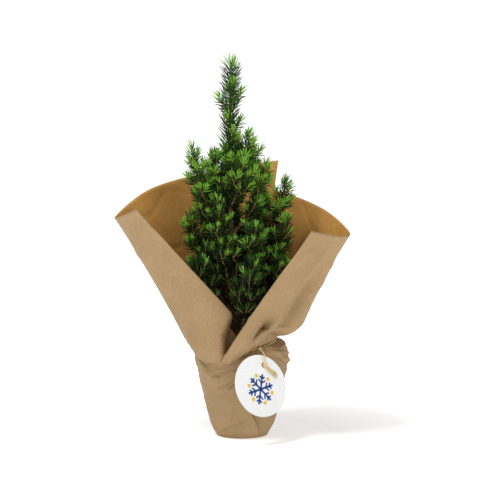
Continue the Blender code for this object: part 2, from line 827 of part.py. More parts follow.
def make_leader_sleeve(name, low, high, shoots, stems, limbs, cutter, group, finish):
    """Needles round a stretch of the leader, on a core that is cut clear of the trunk inside it."""
    draw = random.Random(name)
    space = Space(name, stems, limbs)
    start, end = trunk_share(low), trunk_share(high)
    route = leader_route(low, high)
    twigs = []
    for height, bearing in shoots:
        out = Vector((math.cos(math.radians(bearing)), math.sin(math.radians(bearing)), 0))
        twigs.append(twig_route(trunk_point(trunk_share(height)), UP, out, LEADER_SHOOT_LENGTH))
    whorls, stops = whorl_stops(0, route.length)
    stops = [0] + stops + [route.length]
    radii = [trunk_radius(start + (end - start) * d / route.length) + CLEAR + SLEEVE_CORE for d in stops]
    tilts = [WHORL_TURN * ((i + 1) // 2) for i in range(len(stops))]
    points = [route.at(distance) for distance in stops]
    core = tube(name, points, radii, SLEEVE_CORE_SIDES, group, finish, tilts)
    space.avoid(twigs)
    stand_needles(core, route, whorls, LEADER_NEEDLE_LENGTH, space, draw, route.length if end > 1 else None)
    cores = needled_twigs(name, route, twigs, space, draw, group, finish)
    return joined("foliage_" + name, [core] + cores, cutter, "MANIFOLD")


def stand_on(origin, group):
    """Parents every piece to an empty at the middle of the underside, so that the plant moves as one."""
    pieces = list(group.objects)
    group.objects.link(origin)
    for piece in pieces:
        piece.parent = origin


def main():
    empty_scene()
    group = new_collection("potted_spruce")
    cutters = new_collection("cutters", hidden=True)
    kraft = new_material("kraft_paper", (0.51, 0.33, 0.16), 0.75)
    plastic = new_material("pot_plastic", (0.05, 0.045, 0.04), 0.5)
    compost = new_material("compost", (0.04, 0.022, 0.012), 0.95)
    raffia = new_material("raffia", (0.65, 0.47, 0.22), 0.7)
    card = new_material("tag_card", (0.9, 0.9, 0.9), 0.5)
    bark = new_material("bark", (0.28, 0.16, 0.07), 0.85)
    needles = new_material("needles", (0.03, 0.13, 0.03), 0.6)

    pot = make_pot(group, plastic)
    soil = make_compost(group, compost)
    sleeve = make_sleeve(group, kraft)
    left = make_panel("wrap_panel_left", LEFT_RIM, LEFT_NECK, LEFT_PUFF, group, kraft)
    right = make_panel("wrap_panel_right", RIGHT_RIM, RIGHT_NECK, RIGHT_PUFF, group, kraft)
    make_tie(faces_of([sleeve, left, right]), group, raffia)
    make_tag(group, cutters, card)
    trunk = make_trunk(group, bark)

    skin = make_skin(cutters, bark)
    routes = {name: shoot_route(foot, tip) for name, (foot, tip, _) in BOUGHS.items()}
    starts = {name: routes[name].length * wood + CLEAR for name, (_, _, wood) in BOUGHS.items()}
    boughs = [
        make_bough(name, routes[name], wood, skin, group, bark) for name, (_, _, wood) in BOUGHS.items()
    ]
    for name, (foot, tip) in SHORT_SHOOTS.items():
        routes[name] = shoot_route(foot, tip)
        starts[name] = 0
    stems = {name: route.samples(starts[name], route.length, SAMPLE_STEP) for name, route in routes.items()}
    for name, (low, high) in LEADER_SLEEVES.items():
        stems[name] = leader_route(low, high).points

    limbs = faces_of([pot, soil, sleeve, left, right, trunk] + boughs)
    for name in routes:
        on_trunk = skin if name in SHORT_SHOOTS else None
        make_mass(name, routes[name], starts[name], stems, limbs, on_trunk, group, needles)
    for name, (low, high) in LEADER_SLEEVES.items():
        make_leader_sleeve(name, low, high, LEADER_SHOOTS[name], stems, limbs, skin, group, needles)
    stand_on(bpy.data.objects.new("potted_spruce", None), group)


main()
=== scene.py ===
"""Looks of the potted spruce: needled twigs, bark, creased kraft paper, raffia and a card tag."""

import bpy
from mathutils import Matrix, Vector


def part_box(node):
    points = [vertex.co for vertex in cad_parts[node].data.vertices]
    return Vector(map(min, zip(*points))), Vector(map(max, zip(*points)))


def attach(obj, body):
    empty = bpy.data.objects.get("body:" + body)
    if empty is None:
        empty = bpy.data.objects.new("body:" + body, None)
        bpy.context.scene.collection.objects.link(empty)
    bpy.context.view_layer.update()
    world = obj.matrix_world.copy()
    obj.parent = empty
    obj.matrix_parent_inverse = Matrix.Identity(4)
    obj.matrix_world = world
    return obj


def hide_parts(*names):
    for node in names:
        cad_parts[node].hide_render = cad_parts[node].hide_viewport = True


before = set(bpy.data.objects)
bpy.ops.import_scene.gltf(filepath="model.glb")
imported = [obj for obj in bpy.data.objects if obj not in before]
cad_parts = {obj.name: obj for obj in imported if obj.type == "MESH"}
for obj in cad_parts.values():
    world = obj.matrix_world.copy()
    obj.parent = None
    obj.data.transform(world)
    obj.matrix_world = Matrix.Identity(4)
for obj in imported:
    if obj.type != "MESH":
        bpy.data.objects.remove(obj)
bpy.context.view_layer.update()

import math
import random

import bmesh
import bpy
import numpy as np
from mathutils import Matrix, Quaternion, Vector, noise
from mathutils.bvhtree import BVHTree
from mathutils.kdtree import KDTree

MM = 0.001
UP = Vector((0, 0, 1))
CLEAR = 0.3 * MM
GOLDEN_ANGLE = math.radians(137.5)
SAMPLE_STEP = 2.0 * MM
ROUTE_STEPS = 40
HEADING_SPAN = 0.5 * MM

# Camera and stage. Each light has a place, a size and a power.
CAMERA_PLACE = Vector((0.008, -1.180, 0.236))
CAMERA_AIM = Vector((0.008, 0.0, 0.185))
CAMERA_LENS = 85
LIGHTS = {
    "key": (Vector((-0.75, -0.65, 1.95)), 0.6, 27.0),
    "fill": (Vector((0.95, -1.15, 0.75)), 0.9, 4.5),
}
SKY_LIGHT = 0.34
SKY_SEEN = 1.1
FLOOR_SIZE = 12.0
FLOOR_WHITE = 0.85
FLOOR_GLOW = 0.46
FLOOR_NEAR = 0.10
FLOOR_FAR = 0.45

# Finishes: dark colour, light colour, noise scale, stretch in height, depth of relief, roughness
FINISHES = {
    "bark": ((0.05, 0.025, 0.010), (0.24, 0.13, 0.05), 420, 0.3, 0.5 * MM, 0.85),
    "twig_wood": ((0.22, 0.11, 0.035), (0.55, 0.33, 0.12), 600, 1, 0.2 * MM, 0.7),
    "bud_scales": ((0.16, 0.07, 0.02), (0.36, 0.19, 0.07), 1500, 1, 0.1 * MM, 0.6),
    "compost": ((0.008, 0.005, 0.003), (0.055, 0.030, 0.016), 350, 1, 1.5 * MM, 0.95),
    "pot_plastic": ((0.028, 0.026, 0.025), (0.042, 0.040, 0.038), 900, 1, 0.1 * MM, 0.5),
    "raffia": ((0.55, 0.38, 0.15), (0.88, 0.68, 0.36), 900, 0.3, 0.2 * MM, 0.6),
    "tag_card": ((0.82, 0.82, 0.82), (0.90, 0.90, 0.90), 1200, 1, 0.05 * MM, 0.45),
    "print_blue": ((0.012, 0.05, 0.22), (0.02, 0.07, 0.29), 1200, 1, 0.02 * MM, 0.4),
    "print_yellow": ((0.70, 0.46, 0.05), (0.80, 0.55, 0.08), 1200, 1, 0.02 * MM, 0.4),
}
RELIEF_STRENGTH = 0.7

# Kraft paper: light and dark colour of its two faces, then its stripes, clouds and fibres
KRAFT_OUTSIDE = ((0.43, 0.285, 0.138), (0.37, 0.237, 0.110))
# Inner face: painted bounce light and shade, a warmer orange copy of the same paper's colour for
# the insides of the folds
KRAFT_INSIDE_PAINTED_BOUNCE = ((0.58, 0.300, 0.065), (0.46, 0.215, 0.038))
KRAFT_ROUGHNESS = 0.78
STRIPE_PITCH = 1.7 * MM
STRIPE_WANDER = 0.6
STRIPE_SHADE = (0.9, 0.9, 0.9)
STRIPE_RELIEF = 0.10 * MM
CLOUD_SCALE = 45
FIBRE_SCALE = 1500
FIBRE_STRETCH = (1, 0.2, 1)
FIBRE_SHADE = (0.8, 0.78, 0.75)
FIBRE_RELIEF = 0.08 * MM
WHITE = (1, 1, 1)

# Paper, with the pot and the neck in the sizes of the CAD model
PAPER = 0.5 * MM
POT_FOOT_RADIUS = 24.5 * MM
POT_HEEL_RADIUS = 30.5 * MM
POT_HEEL = 13.0 * MM
POT_RIM_RADIUS = 45.0 * MM
POT_RIM_FOOT = 75.0 * MM
POT_TOP = 80.0 * MM
SLEEVE_FIT = 1.1 * MM
SHOULDER_LIFT = 0.8
NECK_CENTRE = Vector((-6.5, 0.0, 90.0)) * MM
NECK_RADIUS = 37.5 * MM
NECK_RISE_RIGHT = 0.165
NECK_RISE_BACK = 0.10

# Rims as points in millimetres, necks as (angle round the neck, inset in millimetres)
LEFT_RIM = [(38, 79, 277), (-46, 65, 262), (-97, 33, 245), (-126, -8, 218), (-100, -60, 226)]
LEFT_NECK = [(-304, 3.5), (-258, 3.0), (-210, 1.0), (-165, 0.0), (-38, 6.0)]
LEFT_PUFF = 3.0 * MM
LEFT_SEED = 3.0
RIGHT_RIM = [
    (67, -62, 205),
    (95, -41, 200),
    (107, -12, 203),
    (83, 37, 226),
    (42, 71, 243),
    (-22, 92, 256),
]
RIGHT_NECK = [(-111, 0.0), (-75, 0.0), (-30, 0.0), (15, 0.0), (65, 0.0), (118, 0.0)]
RIGHT_PUFF = 17.0 * MM
RIGHT_SEED = 8.0
PUFF_ROW = 0.22
PUFF_DROOP = 0.3
PANEL_ROWS = 90
PANEL_COLUMNS = 170
ROW_CROWDING = 1.6

# The beak: paper that bulges out and hangs over the tie at the front left
BEAK_ANGLE = -106
BEAK_SPREAD = 27
BEAK_SPREAD_LEFT = 52
BEAK_OUT = 9.5 * MM
BEAK_DROP = 11.5 * MM
BEAK_ROW = 0.02
BEAK_FADE = 0.16

# The foot of the right panel's front edge, moved on round the neck so that the beak covers it
SEAM_SHIFT = math.radians(10)
SEAM_ROW = 0.05
SEAM_WIDTH = 0.08

# Relief of the panels. Heights are in millimetres, and fades are shares of the way to the rim.
RELIEF_START = 0.03
GATHERS = 2.2
GATHER_COUNT = 26
GATHER_CHANGE = 5
GATHER_FADE = 0.13
PLEATS = 1.1
PLEAT_COUNT = 17
PLEAT_CHANGE = 3.0
PLEAT_FADE = 0.22
DENTS = 1.6
DENT_PITCH = 48
CREASES = 0.8
CREASE_PITCH = 60

# The left panel turns inwards right of this line of (x, height) in millimetres
TURN_IN = [(-21.5, 70), (-21.5, 104), (-15.0, 118), (-8.0, 130)]
TURN_IN_DEPTH = 15.0
TURN_IN_WIDTH = 15
TURN_IN_FOOT = 78
TURN_IN_FOOT_FADE = 10
TURN_IN_TOP = 136
TURN_IN_TOP_FADE = 22

# The right panel's ridge along a line of (x, height), the hollow right of it, the dent over the
# knot and the rope of gathered paper left of it, all in millimetres. ROPE is its distance
# across and along the dent.
RIDGE = [(14.6, 94), (27, 108), (31.5, 114.6), (54.0, 150.0), (80.0, 185.0)]
RIDGE_HEIGHT = 4.0
RIDGE_WIDTH = 5
RIDGE_FOOT_FADE = 0.15
RIDGE_END = 1.15
RIDGE_END_FADE = 0.5
HOLLOW_DEPTH = 9.0
HOLLOW_AWAY = 9
HOLLOW_WIDTH = 6
KNOT_DENT = (21.5, 109.0)
KNOT_DENT_DEPTH = 21.0
KNOT_DENT_WIDTH = 7.5
KNOT_DENT_LENGTH = 12
KNOT_DENT_LEAN = (0.6, 0.8)
ROPE = (-9, -6)
ROPE_HEIGHT = 2.4
ROPE_WIDTH = 2.2
ROPE_LENGTH = 14

# Folds of the sleeve: start and end as (distance round from the front, height), then how far
# the paper right of that line stands proud, in millimetres
SLEEVE_FOLDS = [
    ((10, 30), (32, -2), 4.2),
    ((9, 21), (-46, 3), 3.4),
    ((-44, 76), (-24, 60), 4.4),
    ((-26, 61), (-4, 70), 4.0),
    ((-14, 52), (-2, 60), 3.2),
    ((34, 74), (6, 66), 0.9),
    ((44, 66), (14, 58), 0.8),
    ((-52, 60), (-30, 40), 0.7),
    ((60, 50), (80, 12), 0.8),
    ((-70, 70), (-92, 30), 0.8),
]
FOLD_WIDTH = 8.0
FOLD_END = 0.15

# Relief of the sleeve, in millimetres: gathers that run to the knot, waves near the top, long
# folds and crumples
SLEEVE_COLUMNS = 260
SLEEVE_ROW = 1.4 * MM
SHOULDER_ROWS = 12
SLEEVE_SLACK = 0.6
SLEEVE_FOOT_FADE = 10
SLEEVE_TOP_FADE = 4
KNOT_GATHERS = 5.8
KNOT_GATHER_REACH = 32
KNOT_GATHER_COUNT = 5.5
KNOT_GATHER_PITCH = 40
KNOT_GATHER_SHARPNESS = 1.4
WAVES = 1.3
WAVE_HEIGHT = 76
WAVE_SPREAD = 14
WAVE_PITCH = (26, 5)
LONG_FOLDS = 0.9
LONG_FOLD_PITCH = (22, 90)
CRUMPLES = 0.7
CRUMPLE_PITCH = (26, 30)

# Raffia. A twist is how far the fibres lie from the line and how often they turn round it.
BAND_RADIUS = 0.8 * MM
KNOT_RADIUS = 2.4 * MM
KNOT_ANGLE = math.radians(-57)
STRAND_RADIUS = 0.8 * MM
SEAT_STEP = 0.1 * MM
FIBRE_RADIUS = 0.42 * MM
FIBRE_PHASES = (0.0, 2.1, 4.2)
FIBRE_SIDES = 6
BAND_STEPS = 72
BAND_TWIST = (0.38 * MM, 22)
CORD_STEPS = 48
CORD_TWIST = (0.36 * MM, 6)
WRAP_TILTS = (0.0, 1.05, 2.1)
WRAP_LEAN = 0.6
WRAP_STEPS = 16
WRAP_RADIUS = 1.65 * MM
WRAP_FIBRE = 0.6 * MM
TAIL_LENGTH = 19.0 * MM
TAIL_WIDTH = 5.5 * MM
TAIL_TURN = math.radians(-42)
TAIL_FIBRES = 9
TAIL_FIBRE = 0.5 * MM
TAIL_SIDES = 5
TAIL_STEPS = 12
TAIL_FAN = 0.8
TAIL_TAPER = 0.55
TAIL_FRAY = 0.08
TAIL_LIFT = 1.4 * MM
TAIL_RISE = 0.35 * MM
TAIL_WAVE = 0.25 * MM

# Tag and its print
TAG_RADIUS = 30.0 * MM
TAG_THICKNESS = 0.6 * MM
TAG_MARGIN = 3.0 * MM
TAG_HOLE_OUT = 20.5 * MM
TAG_CENTRE = Vector((18.5, -54.5, 57.0)) * MM
TAG_NORMAL = Vector((0.57, -0.77, 0.29)).normalized()
TAG_TURN = math.radians(-20)
PRINT_THICKNESS = 0.05 * MM
PRINT_DROP = 3.5 * MM
ARMS = 6
ARM_LENGTH = 15.0 * MM
ARM_WIDTH = 2.1 * MM
BARBS = ((6.2 * MM, 5.2 * MM), (10.4 * MM, 3.8 * MM))
BARB_WIDTH = 1.7 * MM
BARB_SLOPE = 52
DOT_OUT = 13.5 * MM
DOT_RADIUS = 2.0 * MM
DOT_SIDES = 20

# Trunk and boughs, in the sizes of the CAD model
TRUNK_FOOT = Vector((-2.0, 0.0, 72.3)) * MM
TRUNK_RISE = 290.0 * MM
TRUNK_LEAN = 10.5 * MM
TRUNK_NOD = 2.0 * MM
TRUNK_BEND = 2.2
TRUNK_FOOT_RADIUS = 4.2 * MM
TRUNK_TIP_RADIUS = 1.0 * MM
TRUNK_TAPER = 0.8
TRUNK_RINGS = 170
TRUNK_SIDES = 20
ROOT_FLARE = 3.0 * MM
ROOT_FLARE_RISE = 9.0 * MM
BOUGH_FOOT_RADIUS = 2.2 * MM
BOUGH_TIP_RADIUS = 1.3 * MM
BOUGH_RINGS = 26
BOUGH_SIDES = 12
BARK_INSET = 0.93
FURROW_WIDTH = 2.2
FURROW_LENGTH = 5
BARK_FURROWS = 0.16
BARK_GRAIN = 0.08
LEAVE_OUT = 0.45
LEAVE_UP = 0.18
ARRIVE_OUT = 0.12
ARRIVE_UP = 0.40

# Boughs: height of the foot, place of the tip, and the share of the bough that is bare wood
BOUGHS = {
    "upper_left": (190, (-50, -10, 288), 0.33),
    "mid_right": (200, (24, 0, 272), 0.28),
    "far_right": (150, (45, 15, 256), 0.33),
    "low_right": (120, (45, -5, 218), 0.33),
    "lowest_right": (108, (39, -20, 177), 0.38),
    "front_right": (140, (14, -30, 210), 0.33),
    "front_left": (130, (-24, -25, 237), 0.28),
    "low_left": (120, (-52, 0, 222), 0.33),
    "lowest_left": (104, (-45, -25, 175), 0.38),
    "low_front": (118, (9, -35, 177), 0.38),
    "lowest_front": (96, (8, -43, 163), 0.43),
    "middle_front": (146, (-4, -22, 195), 0.33),
    "back_high": (205, (-12, 28, 266), 0.28),
    "back_left": (165, (-38, 30, 246), 0.33),
    "back_right": (172, (22, 36, 244), 0.33),
    "back_middle": (140, (-6, 42, 226), 0.33),
    "back_low_left": (112, (-40, 26, 196), 0.38),
    "back_low_right": (114, (26, 38, 200), 0.38),
}
SHORT_SHOOTS = {
    "crest_left": (222, (-29, 10, 284)),
    "crest_right": (256, (8, -5, 302)),
    "crest_back": (238, (12, 14, 286)),
    "crest_front": (228, (2, -16, 280)),
}
SHORT_SHOOT_BARE = 3.0 * MM

# The leader's two heights, and its side shoots as (height, bearing)
LEADER = (262, 371)
LEADER_RADIUS = 1.6 * MM
LEADER_SHOOTS = [(288, -70), (300, 20), (322, 190), (328, -10)]
LEADER_SHOOT_LENGTH = 16.0 * MM
LEADER_TUFTS = [(272, 130), (280, 215), (310, 250), (314, 100), (340, 80), (344, 290)]
LEADER_TUFT_LENGTH = 8.5 * MM

# Twigs
SHOOT_STEP = 3.0 * MM
SHOOT_SIDES = 6
SHOOT_TIP_RADIUS = 0.6 * MM
SHOOT_FOOT_SHARE = 0.9
TWIG_PITCH = 7.2 * MM
TWIG_LENGTH = 23.0 * MM
TWIG_LENGTH_SPREAD = (0.85, 1.1)
TWIG_SHORTEST = 6.5 * MM
TWIG_SLOPE = math.radians(48)
TWIG_LIFT = 0.35
TWIG_STEPS = 8
TWIG_TAPER = 0.72
TWIG_TRIALS = 3
TWIG_SHRINK = 0.85
TWIG_RADIUS = 0.5 * MM
TWIG_FOOT_RADIUS = 1.3 * TWIG_RADIUS
TWIG_FREE_FOOT = 3.0 * MM
TWIG_ROOM = 1.5 * MM
TWIG_OVERLAP = 2.0 * MM
TWIGLETS = ((0.35, 1), (0.6, -1))
TWIGLET_LENGTH = 9.0 * MM
TWIGLET_SPREAD = (0.8, 1.2)
TWIGLET_PARENT = 13.0 * MM
TWIGLET_FREE_FOOT = 1.0 * MM
TWIGLET_ROOM = 1.0 * MM
TWIGLET_NEEDLES = 0.85
BUD_RADII = (0.9 * MM, 0.9 * MM, 1.8 * MM)

# Needles
NEEDLE_STEP = 0.56 * MM
NEEDLE_STEP_SPREAD = (0.8, 1.2)
LEADER_NEEDLE_STEP = 0.32 * MM
NEEDLE_LENGTH = 10.5 * MM
NEEDLE_LENGTH_SPREAD = (0.75, 1.08)
LEADER_NEEDLE_LENGTH = 15.5 * MM
NEEDLE_SHORTEST = 3.5 * MM
NEEDLE_CLEAR = 0.6 * MM
NEEDLE_SEAT = 0.6
NEEDLE_SLOPE = math.radians(60)
NEEDLE_SLOPE_SPREAD = (0.82, 1.15)
NEEDLE_LIFT = 0.12
TIP_SLOPE = math.radians(20)
TIP_STRETCH = 7.0 * MM
TIP_SHORTENING = 0.25
BRIGHT_TIP = 0.4
NEEDLE_RADIUS = 0.54 * MM
NEEDLE_RINGS = ((0.0, 0.6), (0.35, 1.0), (0.8, 0.7))
NEEDLE_BEND = 0.13
NEEDLE_LIMIT = 8500
WOOD_BARE = 0.3
WOOD_NEEDLE_PITCH = 1.3
WOOD_NEEDLE_SPREAD = (0.8, 1.05)
BARE_FOOT = 104
BARE_FOOT_STEP = 4
TWIG_BARE = 0.75

# Greens of the needles, deep in the crown to the tips, and how a spray gets its green. The green is
# painted light and shade: darker deep inside the crown and low between the flaps, lighter far out
# and high up. Only the lift at each shoot's tip is the real paler green of new growth, and the
# older needles are a real random darkening.
NEEDLE_GREENS_AND_PAINTED_SHADE = {
    "deep": (0.004, 0.011, 0.002),
    "mid": (0.012, 0.036, 0.005),
    "fresh": (0.036, 0.105, 0.010),
    "bright": (0.190, 0.440, 0.040),
}
NEEDLE_ROUGHNESS = 0.5
NEEDLE_SHINE = 0.18
CROWN_RADIUS = 42 * MM
LIGHT_OUTWARDS = 0.38
LIGHT_UPWARDS = 0.95
LIGHT_FOOT = 172
LIGHT_RISE = 110
SPRAY_SPREAD = 0.12
SPRAY_LIMITS = (0.30, 0.85)
TWIGLET_LIGHT = 0.05
LEADER_LIGHT = -0.1
LEADER_SHOOT_LIGHT = 0.3
OLDER_NEEDLES = (0, 0, 0, 0, -1)

# Crumbs of compost
CRUMBS = 620
CRUMB_SIZES = (0.6, 2.0)
CRUMB_EDGE = 3 * MM
CRUMB_TRUNK_ROOM = 9 * MM
CRUMB_ROUGHNESS = 0.8


class Shader:
    """A Principled material, with short calls for the nodes in front of it."""

    def __init__(self, name, colour, roughness):
        self.material = bpy.data.materials.new(name)
        self.material.use_nodes = True
        self.tree = self.material.node_tree
        self.surface = self.tree.nodes["Principled BSDF"]
        self.surface.inputs["Base Color"].default_value = (*colour, 1)
        self.surface.inputs["Roughness"].default_value = roughness

    def place(self, kind, stretch=(1, 1, 1)):
        """Coordinates of a kind, Object or UV, stretched."""
        source = self.tree.nodes.new("ShaderNodeTexCoord")
        mapping = self.tree.nodes.new("ShaderNodeMapping")
        mapping.inputs["Scale"].default_value = stretch
        self.tree.links.new(source.outputs[kind], mapping.inputs["Vector"])
        return mapping.outputs["Vector"]

    def noise(self, place, scale, detail):
        made = self.tree.nodes.new("ShaderNodeTexNoise")
        made.inputs["Scale"].default_value = scale
        made.inputs["Detail"].default_value = detail
        self.tree.links.new(place, made.inputs["Vector"])
        return made.outputs["Fac"]

    def ribs(self, place, pitch, distortion):
        """Stripes of a pitch. The wave texture's own phase runs 20 times as fast as its scale."""
        made = self.tree.nodes.new("ShaderNodeTexWave")
        made.inputs["Scale"].default_value = 2 * math.pi / (20 * pitch)
        made.inputs["Distortion"].default_value = distortion
        self.tree.links.new(place, made.inputs["Vector"])
        return made.outputs["Fac"]

    def blend(self, factor, low, high, start=0.3, end=0.7):
        """A colour between two as the factor goes from start to end."""
        ramp = self.tree.nodes.new("ShaderNodeValToRGB")
        ramp.color_ramp.elements[0].position = start
        ramp.color_ramp.elements[0].color = (*low, 1)
        ramp.color_ramp.elements[1].position = end
        ramp.color_ramp.elements[1].color = (*high, 1)
        self.tree.links.new(factor, ramp.inputs["Fac"])
        return ramp.outputs["Color"]

    def multiply(self, first, second):
        mix = self.tree.nodes.new("ShaderNodeMix")
        mix.data_type = "RGBA"
        mix.blend_type = "MULTIPLY"
        mix.inputs["Factor"].default_value = 1.0
        self.tree.links.new(first, mix.inputs["A"])
        self.tree.links.new(second, mix.inputs["B"])
        return mix.outputs["Result"]

    def colour(self, socket):
        self.tree.links.new(socket, self.surface.inputs["Base Color"])

    def bump(self, height, distance, strength):
        """Adds a layer of relief on top of those already there."""
        made = self.tree.nodes.new("ShaderNodeBump")
        made.inputs["Distance"].default_value = distance
        made.inputs["Strength"].default_value = strength
        self.tree.links.new(height, made.inputs["Height"])
        under = self.surface.inputs["Normal"].links
        if under:
            self.tree.links.new(under[0].from_socket, made.inputs["Normal"])
        self.tree.links.new(made.outputs["Normal"], self.surface.inputs["Normal"])


def kraft_shader(name, light, dark):
    """Ribbed brown paper: faint stripes, darker clouds and fine fibres."""
    made = Shader(name, light, KRAFT_ROUGHNESS)
    stripes = made.ribs(made.place("UV"), STRIPE_PITCH, STRIPE_WANDER)
    clouds = made.noise(made.place("Object"), CLOUD_SCALE, 4)
    fibres = made.noise(made.place("UV", FIBRE_STRETCH), FIBRE_SCALE, 2)
    base = made.blend(clouds, dark, light, 0.25, 0.75)
    base = made.multiply(base, made.blend(stripes, STRIPE_SHADE, WHITE, 0, 1))
    base = made.multiply(base, made.blend(fibres, FIBRE_SHADE, WHITE, 0.3, 0.6))
    made.colour(base)
    made.bump(stripes, STRIPE_RELIEF, 0.5)
    made.bump(fibres, FIBRE_RELIEF, 0.5)
    return made.material


def rough_shader(name, low, high, scale, tall, relief, roughness):
    """A mottled material whose colour and relief follow one noise."""
    made = Shader(name, high, roughness)
    pattern = made.noise(made.place("Object", (1, 1, tall)), scale, 4.0)
    made.colour(made.blend(pattern, low, high))
    made.bump(pattern, relief, RELIEF_STRENGTH)
    return made.material


def needle_shader(tint):
    """A plain green with a dull, waxy gloss."""
    made = Shader("needles_" + tint, NEEDLE_GREENS_AND_PAINTED_SHADE[tint], NEEDLE_ROUGHNESS)
    made.surface.inputs["Specular IOR Level"].default_value = NEEDLE_SHINE
    return made.material


def smooth(value):
    """A soft step from 0 to 1 as the value goes from 0 to 1."""
    value = max(0.0, min(1.0, value))
    return value * value * (3 - 2 * value)


def hump(value, width):
    """A soft hump of height 1 at the value 0."""
    return math.exp(-((value / width) ** 2))


def ridged(place):
    """Noise with sharp ridges, from 0 to 1, as creased paper has."""
    return 1 - min(1.0, abs(noise.noise(place)) * 3.5)


def through(points, share):
    """Point at a share of the way along a smooth curve through evenly spaced points."""
    spans = len(points) - 1
    i = min(int(share * spans), spans - 1)
    t = share * spans - i
    a, b = points[i], points[i + 1]
    before = points[i - 1] if i else a * 2 - b
    after = points[i + 2] if i + 2 <= spans else b * 2 - a
    slope_a, slope_b = (b - before) / 2, (after - a) / 2
    return (
        a * (2 * t**3 - 3 * t**2 + 1)
        + slope_a * (t**3 - 2 * t**2 + t)
        + b * (3 * t**2 - 2 * t**3)
        + slope_b * (t**3 - t**2)
    )


def on_circle(angle):
    """Point at an angle on the level circle of radius 1."""
    return Vector((math.cos(angle), math.sin(angle), 0))


class Route:
    """A line through close points, read by the distance along it."""

    def __init__(self, points):
        self.points = points
        self.reach = [0.0]
        for a, b in zip(points, points[1:]):
            self.reach.append(self.reach[-1] + (b - a).length)
        self.length = self.reach[-1]

    def at(self, distance):
        i = 0
        while i < len(self.points) - 2 and self.reach[i + 1] < distance:
            i += 1
        share = (distance - self.reach[i]) / (self.reach[i + 1] - self.reach[i])
        return self.points[i].lerp(self.points[i + 1], share)

    def heading(self, distance):
        ahead = self.at(distance + HEADING_SPAN)
        return (ahead - self.at(distance - HEADING_SPAN)).normalized()

    def samples(self, start, end, step):
        count = max(2, math.ceil((end - start) / step))
        return [self.at(start + (end - start) * i / count) for i in range(count + 1)]


def line_heading(line, i):
    """Heading of a line of points at one of them."""
    return (line[min(i + 1, len(line) - 1)] - line[max(i - 1, 0)]).normalized()


class Mesher:
    """Gathers tubes and lumps into one mesh."""

    def __init__(self):
        self.points = []
        self.faces = []

    def tube(self, line, radii, sides, relief=None):
        """A closed tube along a line. Relief gives the radius a factor at a point and an angle."""
        side = (line[1] - line[0]).orthogonal().normalized()
        start = len(self.points)
        for i, point in enumerate(line):
            ahead = line_heading(line, i)
            side = (side - ahead * side.dot(ahead)).normalized()
            other = ahead.cross(side)
            for k in range(sides):
                angle = 2 * math.pi * k / sides
                radius = radii[i] * (relief(point, angle) if relief else 1)
                out = side * math.cos(angle) + other * math.sin(angle)
                self.points.append(point + out * radius)
        for i in range(len(line) - 1):
            low, high = start + i * sides, start + (i + 1) * sides
            for k in range(sides):
                j = (k + 1) % sides
                self.faces.append((low + k, low + j, high + j, high + k))
        self.faces.append(tuple(start + k for k in reversed(range(sides))))
        self.faces.append(tuple(start + (len(line) - 1) * sides + k for k in range(sides)))

    def lump(self, centre, radii, turn, rough=0.0):
        """A small rounded lump, such as a bud or a crumb."""
        bm = bmesh.new()
        bmesh.ops.create_icosphere(bm, subdivisions=1, radius=1)
        start = len(self.points)
        for vertex in bm.verts:
            swelling = 1 + rough * noise.noise(vertex.co * 1.7 + centre / MM)
            place = Vector((a * b for a, b in zip(vertex.co, radii))) * swelling
            self.points.append(centre + turn @ place)
        self.faces += [tuple(start + vertex.index for vertex in face.verts) for face in bm.faces]
        bm.free()

    def piece(self, name, finish, slot):
        data = bpy.data.meshes.new(name)
        data.from_pydata(self.points, [], self.faces)
        data.materials.append(finish)
        data.shade_smooth()
        return placed(name, data)


def placed(name, data):
    """A new piece that rides on the plant."""
    obj = bpy.data.objects.new(name, data)
    bpy.context.scene.collection.objects.link(obj)
    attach(obj, "root")
    return obj


def search_tree(objects):
    """One search tree over the faces of these objects as they look with their modifiers."""
    bpy.context.view_layer.update()
    graph = bpy.context.evaluated_depsgraph_get()
    points, faces = [], []
    for obj in objects:
        seen = obj.evaluated_get(graph)
        mesh = seen.to_mesh()
        start = len(points)
        points += [obj.matrix_world @ vertex.co for vertex in mesh.vertices]
        faces += [[start + i for i in face.vertices] for face in mesh.polygons]
        seen.to_mesh_clear()
    return BVHTree.FromPolygons(points, faces)


def neck_point(angle, inset=0.0):
    """Point on the tied groove, or further in by the inset."""
    x, y = (NECK_RADIUS - inset) * math.cos(angle), (NECK_RADIUS - inset) * math.sin(angle)
    return NECK_CENTRE + Vector((x, y, NECK_RISE_RIGHT * x + NECK_RISE_BACK * y))


def beak(angle):
    """How much of the beak there is at an angle round the neck, from 0 to 1."""
    away = (math.degrees(angle) - BEAK_ANGLE + 180) % 360 - 180
    return hump(away, BEAK_SPREAD if away > 0 else BEAK_SPREAD_LEFT)


def beak_shift(share):
    """How far out and how far down the beak is at a share of the way from the tie to the rim."""
    if share < BEAK_ROW:
        turn = math.pi / 2 * share / BEAK_ROW
        return BEAK_OUT * math.sin(turn), BEAK_DROP * (1 - math.cos(turn))
    fade = hump(share - BEAK_ROW, BEAK_FADE)
    return BEAK_OUT * fade, BEAK_DROP * fade


def swell(share):
    """How much of a panel's puff there is at a share of the way from the tie to the rim."""
    if share < PUFF_ROW:
        return math.sin(math.pi / 2 * share / PUFF_ROW)
    return (1 - share) / (1 - PUFF_ROW)


